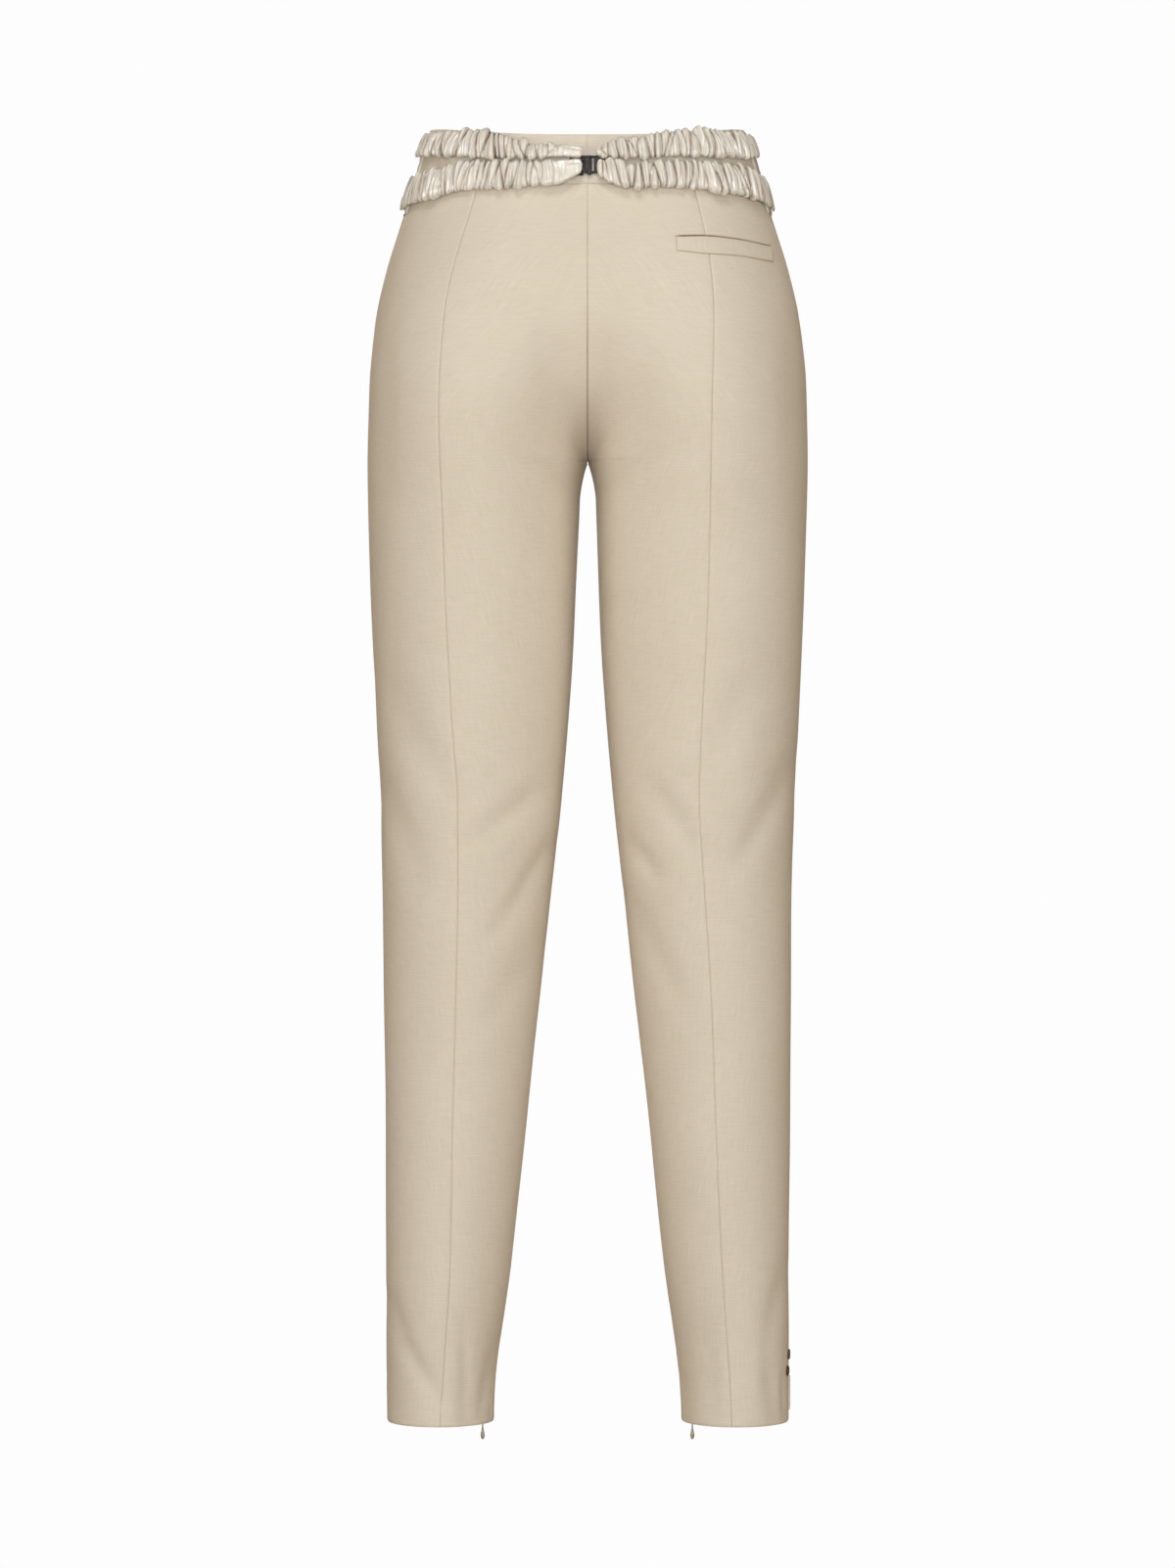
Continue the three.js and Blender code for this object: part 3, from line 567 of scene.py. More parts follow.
@dataclass(frozen=True)
class SatinFinish:
    """Satin: long floats that give a broad, bright lustre, with dark brown painted into the gathers' valleys
    as shade.
    """

    name: str
    light: tuple[float, float, float, float]
    dark: tuple[float, float, float, float]
    roughness: float = 0.27
    # The dark brown painted into the gathers' valleys as shade.
    crease: tuple[float, float, float, float] = (0.2, 0.12, 0.06, 1.0)

    def build(self, weave: bpy.types.NodeTree) -> bpy.types.Material:
        """Makes the material.

        Args:
            weave: the shared weave group.

        Returns:
            The material.
        """
        material = bpy.data.materials.new(self.name)
        material.use_nodes = True
        n = Nodes(material.node_tree)
        place = n.add("ShaderNodeUVMap", uv_map="cloth")
        body = n.add("ShaderNodeTexCoord")
        woven = n.add("ShaderNodeGroup", node_tree=weave)
        n.tree.links.new(place.outputs[0], woven.inputs["Vector"])
        woven.inputs["Pitch"].default_value = 9000.0
        woven.inputs["Slub"].default_value = 0.5
        tone = n.add("ShaderNodeMix", data_type="RGBA")
        tone.inputs[6].default_value = self.dark
        tone.inputs[7].default_value = self.light
        cloud = n.add("ShaderNodeTexNoise", {"Vector": body.outputs["Object"], "Scale": 60.0, "Detail": 3.0})
        n.tree.links.new(cloud.outputs[0], tone.inputs[0])
        # Painted shade: the colour is mixed towards the dark brown by the stored shade amount.
        painted_shade_amount = n.add("ShaderNodeAttribute", attribute_name="crease")
        shaded = n.add("ShaderNodeMix", {0: painted_shade_amount.outputs["Fac"], 6: tone.outputs[2]}, data_type="RGBA")
        shaded.inputs[7].default_value = self.crease
        bump = n.add("ShaderNodeBump", {"Strength": 0.6, "Distance": 0.04 * MM,
                                        "Height": woven.outputs["Height"]})
        shader = n.add("ShaderNodeBsdfPrincipled", {
            "Base Color": shaded.outputs[2], "Roughness": self.roughness, "Coat Weight": 0.5,
            "Coat Roughness": 0.24, "Normal": bump.outputs[0], "Specular IOR Level": 0.9})
        n.add("ShaderNodeOutputMaterial", {"Surface": shader.outputs[0]})
        return material


@dataclass(frozen=True)
class HardFinish:
    """Metal or horn with fine wear."""

    name: str
    colour: tuple[float, float, float, float]
    worn: tuple[float, float, float, float]
    metallic: float
    roughness: float
    specular: float = 0.5

    def build(self) -> bpy.types.Material:
        """Makes the material."""
        material = bpy.data.materials.new(self.name)
        material.use_nodes = True
        n = Nodes(material.node_tree)
        body = n.add("ShaderNodeTexCoord")
        grain = n.add("ShaderNodeTexNoise", {"Vector": body.outputs["Object"], "Scale": 900.0, "Detail": 5.0})
        tone = n.add("ShaderNodeMix", data_type="RGBA")
        tone.inputs[6].default_value = self.colour
        tone.inputs[7].default_value = self.worn
        n.tree.links.new(grain.outputs[0], tone.inputs[0])
        rough = n.math("ADD", n.math("MULTIPLY", grain.outputs[0], 0.2), self.roughness - 0.1)
        bump = n.add("ShaderNodeBump", {"Strength": 0.3, "Distance": 0.03 * MM, "Height": grain.outputs[0]})
        shader = n.add("ShaderNodeBsdfPrincipled", {
            "Base Color": tone.outputs[2], "Roughness": rough,
            "Metallic": self.metallic, "Normal": bump.outputs[0], "Specular IOR Level": self.specular})
        n.add("ShaderNodeOutputMaterial", {"Surface": shader.outputs[0]})
        return material


@dataclass
class Finishes:
    """Every material of the trousers, built once."""

    wool: bpy.types.Material
    satin: bpy.types.Material
    tape: bpy.types.Material
    clasp: bpy.types.Material
    zip: bpy.types.Material
    horn: bpy.types.Material

    @classmethod
    def make(cls) -> "Finishes":
        """Builds them all."""
        weave = weave_group()
        return cls(
            wool=ClothFinish("wool", linear(231, 224, 212), linear(208, 199, 184),
                             0.85, 0.15, 5200.0, 0.9, 0.14).build(weave),
            satin=SatinFinish("satin", linear(238, 236, 230), linear(223, 219, 210)).build(weave),
            tape=ClothFinish("zip_tape", linear(222, 212, 190), linear(208, 197, 174),
                             0.8, 0.1, 4000.0, 0.4, 0.15).build(weave),
            clasp=HardFinish("gunmetal", linear(17, 14, 12), linear(36, 30, 25), 0.0, 0.34, 0.2).build(),
            zip=HardFinish("zip_metal", linear(186, 177, 158), linear(166, 156, 138), 0.25, 0.42).build(),
            horn=HardFinish("horn", linear(104, 72, 44), linear(48, 32, 20), 0.0, 0.3).build(),
        )


def dress(piece: bpy.types.Object, material: bpy.types.Material, body: str = "root") -> None:
    """Gives a finished piece its material and its body."""
    piece.data.materials.clear()
    piece.data.materials.append(material)
    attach(piece, body)
    log.info("%s: %d faces on %s", piece.name, len(piece.data.polygons), body)


# ------------------------------------------------------------------ cloth
@dataclass(frozen=True)
class Fold:
    """A soft trough (negative depth) or ridge along a line of (x, z) places."""

    path: tuple[tuple[float, float], ...]
    depth: float
    width: float
    front: bool = False

    def height(self, x: np.ndarray, z: np.ndarray) -> np.ndarray:
        """The fold's height at places of the cloth.

        Args:
            x: distances from the middle plane, with their side's sign.
            z: heights.

        Returns:
            How far the cloth moves out.
        """
        nearest = np.full(x.shape, 1e9)
        along = np.zeros(x.shape)
        spans = list(zip(self.path[:-1], self.path[1:]))
        for k, ((x0, z0), (x1, z1)) in enumerate(spans):
            dx, dz = x1 - x0, z1 - z0
            u = ((x - x0) * dx + (z - z0) * dz) / (dx * dx + dz * dz)
            inside = np.clip(u, 0, 1)
            gap = np.hypot(x - x0 - inside * dx, z - z0 - inside * dz)
            along = np.where(gap < nearest, (k + inside) / len(spans), along)
            nearest = np.minimum(nearest, gap)
        taper = 0.35 + 0.65 * np.sin(math.pi * np.clip(along, 0.02, 0.98)) ** 0.6
        return self.depth * taper * np.exp(-(nearest / self.width) ** 2)


WELT = Table(["x", "top", "bottom"], [
    [67, -70.6, -81.4], [90, -69.8, -83.2], [113, -71.0, -83.4], [141, -73.6, -85.4]])

FOLDS = (
    Fold(((159, -478), (151, -499), (140, -524), (126, -562)), -2.1, 11),
    Fold(((152, -404), (130, -452), (104, -494)), -2.4, 13),
    Fold(((32, -486), (60, -508), (90, -531)), -2.3, 10),
    Fold(((27, -528), (42, -552), (52, -570)), -2.4, 6.5),
    Fold(((40, -562), (72, -599)), -2.0, 9),
    Fold(((40, -610), (74, -664)), -1.7, 11),
    Fold(((151, -880), (140, -914), (129, -932), (112, -956)), -2.6, 7),
    Fold(((94, -895), (92, -972)), -1.7, 4.5),
    Fold(((72, -915), (82, -968)), -1.5, 4.5),
    Fold(((108, -925), (106, -974)), 0.9, 6),
    Fold(((-156, -468), (-144, -496), (-130, -520), (-116, -545)), -3.1, 10),
    Fold(((-125, -402), (-92, -480)), -2.4, 13),
    Fold(((-50, -486), (-83, -536)), -2.5, 9),
    Fold(((-33, -528), (-52, -554)), -2.5, 6.5),
    Fold(((-31, -570), (-57, -623), (-70, -655)), -2.0, 10),
    Fold(((-150, -858), (-138, -910)), -2.0, 7),
    Fold(((-141, -925), (-143, -971)), -1.9, 4.5),
    Fold(((-149.5, -938), (-151, -972)), -1.6, 1.8),
    Fold(((-136, -912), (-137, -962)), -1.2, 4.0),
    Fold(((-92, -900), (-96, -966)), -1.4, 7),
    Fold(((32, -145), (24, -190), (15, -228)), -2.2, 12),
    Fold(((-10, -150), (-10, -190), (-8, -222)), -2.6, 8.5),
    Fold(((-46, -180), (-38, -224)), -1.9, 11),
    Fold(((153, -141), (156, -260)), -1.3, 10),
    Fold(((-153, -130), (-157, -250)), -1.0, 10),
    Fold(((66, -232), (34, -246), (12, -264)), -1.2, 9),
    Fold(((-66, -230), (-34, -246), (-12, -264)), -1.2, 9),
    Fold(((14, -246), (40, -268), (70, -282)), -1.8, 9, True),
    Fold(((-14, -246), (-42, -266), (-72, -284)), -1.8, 9, True),
    Fold(((16, -222), (52, -226), (92, -214)), -1.9, 9, True),
    Fold(((-16, -220), (-50, -225), (-94, -216)), -1.9, 9, True),
    Fold(((150, -500), (128, -520), (104, -530)), -2.0, 10, True),
    Fold(((-150, -496), (-130, -518), (-100, -532)), -2.0, 10, True),
    Fold(((44, -540), (70, -560), (96, -566)), -1.6, 9, True),
    Fold(((-40, -536), (-66, -556), (-98, -570)), -1.6, 9, True),
    Fold(((146, -930), (132, -950)), -1.4, 7, True),
    Fold(((-147, -924), (-134, -950)), -1.4, 7, True),
    Fold(((92, -880), (88, -960)), -1.4, 8, True),
    Fold(((-90, -884), (-92, -962)), -1.4, 8, True),
)


@dataclass
class Cloth:
    """The trousers' wool panels and waistband."""

    form: Form
    finishes: Finishes
    thickness: float = 1.3
    seam_gap: float = 0.06
    seam_depth: float = 0.5
    seam_width: float = 0.6
    edge_steps: tuple[float, ...] = (0.0, 0.3, 0.65, 1.1, 1.8, 3.0, 5.0)
    row_step: float = 3.4
    crotch_step: float = 1.2
    crotch_reach: float = 26.0
    mouth_rows: tuple[float, float] = (-76.0, -60.0)
    mouth_ends: tuple[float, float] = (67.5, 140.5)
    mouth_step: float = 0.4
    mouth_depth: float = 1.8
    mouth_half: float = 0.85
    column_step: float = 4.2
    hem_turn: float = 34.0
    hem_thickness: float = 0.9
    # How strongly the panel seams, the waist seam, the crotch and the pocket's mouth are painted darker, as
    # shade.
    seam_tint: float = 0.1
    waist_tint: float = 0.2
    crotch_tint: float = 0.16
    mouth_tint: float = 0.95

    def heights(self) -> np.ndarray:
        """The rows' heights, closer together round the crotch and at both edges."""
        f = self.form
        rows = [f.hem_z + s for s in self.edge_steps]
        z = rows[-1]
        while z < f.waist_seam_z - 6:
            close = abs(z - f.crotch_z) < self.crotch_reach
            z += self.crotch_step if close else self.row_step
            rows.append(z)
        low, high = self.mouth_rows
        rows = [r for r in rows if r < f.waist_seam_z - 5.2 and not low < r < high]
        rows.extend(np.arange(low, high + 0.1, self.mouth_step))
        rows.extend(f.waist_seam_z - s for s in reversed(self.edge_steps))
        return np.unique(np.round(np.array(rows), 3))

    def spread(self, length: float, count: int) -> np.ndarray:
        """Places across a panel: close at both seams and even between them."""
        steps = np.array(self.edge_steps)
        middle = np.linspace(steps[-1], length - steps[-1], count)[1:-1]
        return np.concatenate([steps, middle, length - steps[::-1]])

    def seam_relief(self, distance: np.ndarray, place: np.ndarray, seed: float) -> np.ndarray:
        """The groove and the faint welt of the allowances beside a seam.

        Args:
            distance: how far from the seam, in millimetres.
            place: the height along the seam.
            seed: a number that makes each seam's puckers differ.

        Returns:
            How far the cloth moves out.
        """
        pucker = 0.5 + 0.5 * np.sin(place / 7.3 + seed) * np.sin(place / 17.9 + 2 * seed)
        groove = -self.seam_depth * np.exp(-((distance / self.seam_width) ** 2))
        welt = 0.1 * np.exp(-(((distance - 3.5) / 3.0) ** 2)) * (0.6 + 0.4 * pucker)
        pinch = -0.1 * pucker * np.exp(-((distance / 3.0) ** 2))
        return groove + welt + pinch

    def leg(self, side: Side) -> None:
        """Builds one leg's three panels."""
        f = self.form
        zs = self.heights()
        counts = (int(230 / self.column_step), int(95 / self.column_step), int(120 / self.column_step))
        grids, runs, edges = [], [], []
        for z in zs:
            length = f.cut(z)[2]
            half = self.seam_gap / 2 / length
            side_t, back_t = f.side_t(z), f.seam_t(z, side)
            limits = [(half, side_t - half), (side_t + half, back_t - half), (back_t + half, 1 - half)]
            ts, ds = [], []
            for (start, stop), count in zip(limits, counts):
                run = self.spread((stop - start) * length, count)
                ts.append(start + run / length)
                ds.append(np.minimum(run, run[-1] - run))
            ghost = 2.0 / length
            t = np.concatenate([[-ghost], *ts, [1 + ghost]])
            grids.append(f.row(t, z))
            runs.append(t * length)
            edges.append(np.concatenate([[0], *ds, [0]]))
        grid = np.array(grids)
        run = np.array(runs)
        edge = np.array(edges)
        across = np.empty_like(grid)
        across[:, 1:-1] = grid[:, 2:] - grid[:, :-2]
        across[:, [0, -1]] = across[:, [1, -2]]
        upward = np.empty_like(grid)
        upward[1:-1] = grid[2:] - grid[:-2]
        upward[0], upward[-1] = grid[1] - grid[0], grid[-1] - grid[-2]
        normal = unit(np.cross(across, upward))
        low_row = np.abs(zs - f.crotch_z) < 8
        self.soften(normal, low_row)
        relief = self.relief(grid, zs, edge, side, sum(counts))
        # Painted shade in the seams, round the crotch and in the pocket's mouth.
        crease = self.creases(grid, zs, edge, side)
        surface = grid + normal * relief[..., None]
        above = zs > f.crotch_z
        limit = self.seam_gap / 2
        surface[above, :, 0] = np.maximum(surface[above, :, 0], limit)
        hem = np.exp(-(((zs - f.hem_z) / self.hem_turn) ** 8))[:, None, None]
        inner = surface - normal * (self.thickness + self.hem_thickness * hem)
        inner[above, :, 0] = np.maximum(inner[above, :, 0], limit)
        start = 1
        for k, kind in enumerate(("front", "side_back", "centre_back")):
            cols = counts[k] - 2 + 2 * len(self.edge_steps)
            part = slice(start, start + cols)
            start += cols
            uv = np.stack([run[:, part], np.repeat(zs[:, None], cols, axis=1)], axis=-1)
            piece = shell(f"{kind}_cloth_{side.word}", surface[:, part], inner[:, part], uv, side,
                          crease[:, part])
            dress(piece, self.finishes.wool)
            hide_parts(f"{kind}_{side.word}")

    def mouth(self, x: np.ndarray, real: np.ndarray, back: np.ndarray, side: Side) -> np.ndarray:
        """How much each place lies in the welt pocket's mouth, from 0 to 1."""
        if side is Side.LEFT:
            return np.zeros(x.shape)
        lip = WELT("top", np.abs(x)) + self.mouth_half + 0.1
        near, far = self.mouth_ends
        ends = smooth((np.abs(x) - near) / 1.2) * smooth((far - np.abs(x)) / 1.2)
        return back * ends * np.exp(-(((real - lip) / self.mouth_half) ** 4))

    def creases(self, grid: np.ndarray, zs: np.ndarray, edge: np.ndarray, side: Side) -> np.ndarray:
        """How much painted shade each point of a leg gets: in the seams, the centre back seam, the waist
        seam, round the crotch and in the pocket's mouth.
        """
        x, y = grid[..., 0], grid[..., 1]
        z = np.broadcast_to(zs[:, None], x.shape)
        back = smooth((y + 12) / 24)
        middle = np.exp(-((x / 0.5) ** 2)) * (z > self.form.crotch_z)
        low = smooth((-z - 90) / 110)
        # Painted shade in the panel seams and the centre back seam, stronger low down.
        out = self.seam_tint * np.exp(-((edge / 0.45) ** 2)) + middle * mix(0.04, 0.6, low)
        out += self.waist_tint * np.exp(-(((self.form.waist_seam_z - z) / 0.5) ** 2))
        # Painted shade round the crotch, on the back.
        near_crotch = np.exp(-((x / 16) ** 2) - ((z - self.form.crotch_z - 14) / 34) ** 2)
        out += self.crotch_tint * back * near_crotch
        # Painted shade in the pocket's mouth, as a dark line.
        out += self.mouth_tint * self.mouth(x, grid[..., 2], back, side)
        return np.clip(out, 0, 1)

    def soften(self, normal: np.ndarray, rows: np.ndarray) -> None:
        """Averages the normals of the rows round the crotch, where the cut changes shape."""
        for _ in range(3):
            near = normal.copy()
            near[1:-1] = normal[:-2] + normal[2:] + 2 * normal[1:-1]
            normal[rows] = unit(near[rows])

    def relief(self, grid: np.ndarray, zs: np.ndarray, edge: np.ndarray, side: Side, seed: int) -> np.ndarray:
        """How far each point of a leg moves out from the form.

        Args:
            grid: the form's points.
            zs: the rows' heights.
            edge: each point's distance from the nearest seam.
            side: the side of the wearer.
            seed: a number that varies the puckers.

        Returns:
            The relief, in millimetres.
        """
        x, y = grid[..., 0] * side.value, grid[..., 1]
        z = np.broadcast_to(zs[:, None], x.shape)
        dropped = grid[..., 2] - z
        back = smooth((y + 12) / 24)
        out = np.zeros(x.shape)
        for fold in FOLDS:
            weight = 1 - back if fold.front else back
            out += weight * fold.height(x, z)
        drift = (
            0.35 * np.sin(z / 61 + x / 37 + side.value) * np.sin(z / 143 - y / 45)
            + 0.22 * np.sin(z / 29 - x / 23 + 1.7) * np.sin(z / 83 + y / 31 + side.value)
        )
        out += drift * smooth((-z - 90) / 80)
        out += self.seam_relief(edge, z, 0.7 * side.value + 0.01 * seed)
        out -= self.mouth_depth * self.mouth(x, z + dropped, back, side)
        low = smooth((-z - 90) / 110) * (z > self.form.crotch_z)
        out -= 0.25 * low * np.exp(-((x / 0.7) ** 2))
        waist = self.form.waist_seam_z - z
        out += -0.5 * np.exp(-((waist / 1.0) ** 2)) + 0.25 * np.exp(-(((waist - 4) / 4) ** 2))
        hem = z - self.form.hem_z
        out += -0.5 * np.exp(-((hem / 0.9) ** 2)) + 0.12 * np.sin(x / 9 + 1) * np.exp(-((hem / 26) ** 2))
        out += -0.3 * np.exp(-(((hem - self.hem_turn) / 2.2) ** 2)) * (0.6 + 0.4 * np.sin(x / 6.1))
        return out

    def waistband(self, side: Side, back: bool) -> None:
        """Builds one quarter of the waistband."""
        f = self.form
        low, high = f.waist_seam_z + 0.1, f.waist_top_z
        steps = np.array(self.edge_steps)
        middle = np.linspace(low + steps[-1], high - steps[-1], 12)[1:-1]
        zs = np.concatenate([low + steps, middle, high - steps[::-1]])
        grids, runs, edges = [], [], []
        for z in zs:
            length = f.cut(z)[2]
            half = self.seam_gap / 2 / length
            side_t = f.side_t(z)
            start, stop = (side_t + half, 1 - half) if back else (half, side_t - half)
            run = self.spread((stop - start) * length, 50)
            t = start + run / length
            ghost = 2.0 / length
            grids.append(f.row(np.concatenate([[t[0] - ghost], t, [t[-1] + ghost]]), z))
            runs.append(t * length)
            edges.append(np.minimum(run, run[-1] - run))
        grid, run, edge = np.array(grids), np.array(runs), np.array(edges)
        across = grid[:, 2:] - grid[:, :-2]
        grid = grid[:, 1:-1]
        upward = np.gradient(grid, axis=0)
        normal = unit(np.cross(across, upward))
        z = np.broadcast_to(zs[:, None], edge.shape)
        from_low, from_high = z - low, high - z
        out = self.seam_relief(edge, z * 3, 2.0 + side.value)
        out += 0.45 - 0.95 * np.exp(-((from_low / 0.9) ** 2)) - 0.8 * np.exp(-((from_high / 1.0) ** 2))
        out += 0.2 * np.sin(grid[..., 0] / 19 + side.value) * np.sin(z / 13)
        surface = grid + normal * out[..., None]
        inner = surface - normal * (self.thickness + 0.8)
        for g in (surface, inner):
            g[..., 0] = np.maximum(g[..., 0], self.seam_gap / 2)
        kind = "back" if back else "front"
        uv = np.stack([run, z], axis=-1)
        piece = shell(f"waistband_{kind}_cloth_{side.word}", surface, inner, uv, side)
        dress(piece, self.finishes.wool)
        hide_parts(f"waistband_{kind}_{side.word}")

    def build(self) -> None:
        """Builds every wool piece."""
        for side in Side:
            self.waistband(side, back=False)
            self.waistband(side, back=True)
            self.leg(side)


# ------------------------------------------------------------------ satin bands
BAND_COLUMNS = ("turn", "upperZ", "upperHalf", "lowerZ", "lowerHalf", "lift", "half")
BAND_SIZES = {
    Side.LEFT: Table(BAND_COLUMNS, [
        [1.75, -8.4, 3.9, -18.8, 5.6, 5.4, 2.2],
        [10, -7.2, 4.9, -23.4, 9.4, 4.4, 3.0],
        [18, -6.0, 6.3, -23.4, 9.8, 0.9, 4.2],
        [27.5, -2.6, 8.6, -23.8, 10.8, 0.9, 4.4],
        [38, 0.2, 10.8, -23.9, 11.5, 0.9, 4.4],
        [52, 2.7, 10.4, -27.6, 11.5, 0.9, 4.4],
        [63, 3.9, 9.0, -29.2, 12.0, 1.2, 3.2],
        [72, 5.4, 8.5, -29.6, 12.0, 1.7, 2.1],
        [84, 6.9, 7.9, -29.9, 11.9, 1.6, 1.6],
        [100, 8.0, 7.5, -30.0, 11.5, 1.6, 1.5],
    ]),
    Side.RIGHT: Table(BAND_COLUMNS, [
        [3.1, -8.0, 3.7, -19.6, 6.8, 5.0, 2.2],
        [9, -4.8, 7.0, -23.2, 9.8, 4.2, 3.0],
        [15, -4.4, 7.8, -25.4, 9.3, 0.9, 4.2],
        [24.5, -1.2, 9.8, -23.7, 9.6, 0.9, 4.4],
        [36, 1.2, 10.8, -23.4, 11.4, 0.9, 4.4],
        [45, 1.8, 11.0, -24.6, 12.0, 0.9, 4.4],
        [63, 2.8, 10.2, -27.4, 11.7, 1.2, 3.2],
        [72, 4.9, 9.1, -28.9, 12.0, 1.7, 2.1],
        [84, 6.6, 8.2, -29.7, 12.0, 1.6, 1.6],
        [100, 8.0, 7.5, -30.0, 11.5, 1.6, 1.5],
    ]),
}


@dataclass
class SatinBand:
    """One gathered satin tube over elastic, from the clasp round to the side."""

    form: Form
    finishes: Finishes
    side: Side
    upper: bool
    seed: int
    smooth_until: float
    steps: int = 620
    around: int = 48
    stop: float = 97.0
    wall: float = 0.3
    pitch: float = 6.2
    crest: float = 4.6
    gather: float = 1.2
    cap: float = 3.5

    def gathers(self, rng: np.random.Generator, pitch: float, length: float, angles: np.ndarray,
                along: np.ndarray) -> tuple[np.ndarray, np.ndarray]:
        """One set of gathers, from valley to valley.

        Args:
            rng: the source of their small differences.
            pitch: their usual distance, in millimetres.
            length: the band's length.
            angles: the places round the tube.
            along: the places along it.

        Returns:
            Their height, from 0 to about 1, and how near each place is to a valley.
        """
        marks = [-12.0]
        while marks[-1] < length + 12:
            marks.append(marks[-1] + pitch * (0.5 + rng.random() ** 1.2))
        marks = np.array(marks)
        count = len(marks)
        slant = rng.normal(0, 0.27, count) * pitch + 0.8 * np.sin(marks / 17 + self.seed)
        wave = rng.uniform(-0.16, 0.16, count) * pitch
        phase = rng.uniform(0, 2 * math.pi, count)
        tall = rng.uniform(0.6, 1.0, count)
        lean = rng.uniform(-0.9, 0.9, count)
        ends = rng.uniform(0, 1, count)
        lobe = rng.uniform(0.3, 1.0, count)
        height = np.zeros((len(along), len(angles)))
        valley = np.zeros_like(height)
        for j, a in enumerate(angles):
            up = math.sin(a)
            places = np.sort(marks + slant * up + wave * np.sin(2 * a + phase))
            k = np.clip(np.searchsorted(places, along) - 1, 0, count - 2)
            width = np.maximum(places[k + 1] - places[k], 0.8)
            f = np.clip((along - places[k]) / width, 0, 1)
            crest = np.sin(math.pi * f ** (2.0 ** lean[k])) ** 0.75
            one_sided = np.where(ends[k] < 0.25, 0.5 + 0.5 * smooth(0.6 + up),
                                 np.where(ends[k] > 0.75, 0.5 + 0.5 * smooth(0.6 - up), 1.0))
            edge = 1 + 0.35 * lobe[k] * abs(up) ** 3
            height[:, j] = crest * tall[k] * one_sided * edge * np.minimum(width / pitch, 1.25)
            valley[:, j] = np.exp(-((np.minimum(f, 1 - f) * width / 0.6) ** 2)) * tall[k] * one_sided
        return height, valley

    def ruches(self, length: float, angles: np.ndarray, along: np.ndarray) -> tuple[np.ndarray, np.ndarray]:
        """The gathers' height over the tube, and how near each place lies to a valley between them.

        Args:
            length: the band's length.
            angles: the places round the tube.
            along: the places along it.

        Returns:
            Two grids, along by around.
        """
        rng = np.random.default_rng(self.seed)
        broad, valley = self.gathers(rng, self.pitch, length, angles, along)
        small, crack = self.gathers(rng, self.pitch * 0.52, length, angles, along)
        height = self.crest * (0.85 * broad + 0.3 * small)
        return height, np.clip(1.0 * valley + 0.3 * crack, 0, 1)

    def build(self) -> bpy.types.Object:
        """Builds the band."""
        table = BAND_SIZES[self.side]
        level, half_name = ("upperZ", "upperHalf") if self.upper else ("lowerZ", "lowerHalf")
        start = float(table.data[0, 0])
        coarse = np.linspace(start, self.stop, 60)
        frames = [self.place(table, level, turn) for turn in coarse]
        middle = np.linspace(start, self.stop, self.steps)
        close = start + (middle[4] - start) * np.array([0.02, 0.08, 0.2, 0.45, 0.7])
        turns = np.concatenate([[start], close, middle[4:-4], self.stop + start - close[::-1], [self.stop]])
        fine = [np.stack([np.interp(turns, coarse, np.array([fr[k][i] for fr in frames]))
                          for i in range(3)], axis=1) for k in range(3)]
        centre, outward, upward = fine[0], unit(fine[1]), unit(fine[2])
        along = np.concatenate([[0], np.cumsum(np.linalg.norm(np.diff(centre, axis=0), axis=1))])
        thick = table("half", turns)[:, None]
        wide = table(half_name, turns)[:, None]
        angles = np.linspace(0, 2 * math.pi, self.around, endpoint=False)
        ca, sa = np.cos(angles)[None, :], np.sin(angles)[None, :]
        folds, valleys = self.ruches(along[-1], angles, along)
        fade = smooth((turns[:, None] - start) / max(self.smooth_until - start, 1) - 0.1)
        near = np.exp(-(((turns[:, None] - start) / 9.0) ** 2))
        pleat = (0.6 * np.cos(3 * angles[None, :] + 0.8 + along[:, None] / 16)
                 + 0.4 * np.cos(5 * angles[None, :] - 1.1 - along[:, None] / 23))
        shown = np.clip(0.35 + 0.9 * ca, 0.06, 1.0)
        side = np.clip(thick / 4.0, 0.45, 1.0)
        relief = (folds - 0.6 * self.crest) * mix(0.2, 1.0, fade)
        relief = relief * side + pleat * mix(0.3, 1.0, near) * (1 - 0.75 * fade)
        r_out = thick * np.sign(ca) * np.abs(ca) ** 0.8 + relief * shown
        r_up = wide * np.sign(sa) * np.abs(sa) ** 0.9 + 0.7 * relief * sa
        cap = np.clip(np.minimum(along, along[-1] - along) / self.cap, 0, 1)[:, None]
        taper = np.sqrt(1 - (1 - cap) ** 2) * 0.97 + 0.03
        outer = (centre[:, None] + outward[:, None] * (r_out * taper)[..., None]
                 + upward[:, None] * (r_up * taper)[..., None])
        inward = unit(centre[:, None] - outer)
        inner = outer + inward * self.wall
        name = f"satin_{'upper' if self.upper else 'lower'}_{self.side.word}"
        # Painted shade: the gathers' valleys are painted dark brown as shade.
        crease = valleys * fade
        piece = self.tube(name, outer, inner, along, angles, float(wide.mean()), crease)
        dress(piece, self.finishes.satin)
        node = f"band_{'upper' if self.upper else 'lower'}_{self.side.word}"
        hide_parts(node)
        return piece

    def place(self, table: Table, level: str, turn: float) -> tuple[np.ndarray, ...]:
        """The band's middle, outward and upward directions at a turn round the waist."""
        f = self.form
        z = f.level_of(float(table(level, turn)), lambda at: f.turn_t(turn, at))
        t = f.turn_t(turn, z)
        outward = f.normal(t, z)
        above = f.row(np.array([t]), min(z + 4, f.waist_top_z))[0]
        below = f.row(np.array([t]), z - 4)[0]
        upward = unit(above - below)
        stand = float(table("lift", turn)) + float(table("half", turn))
        return f.row(np.array([t]), z)[0] + outward * stand, outward, upward

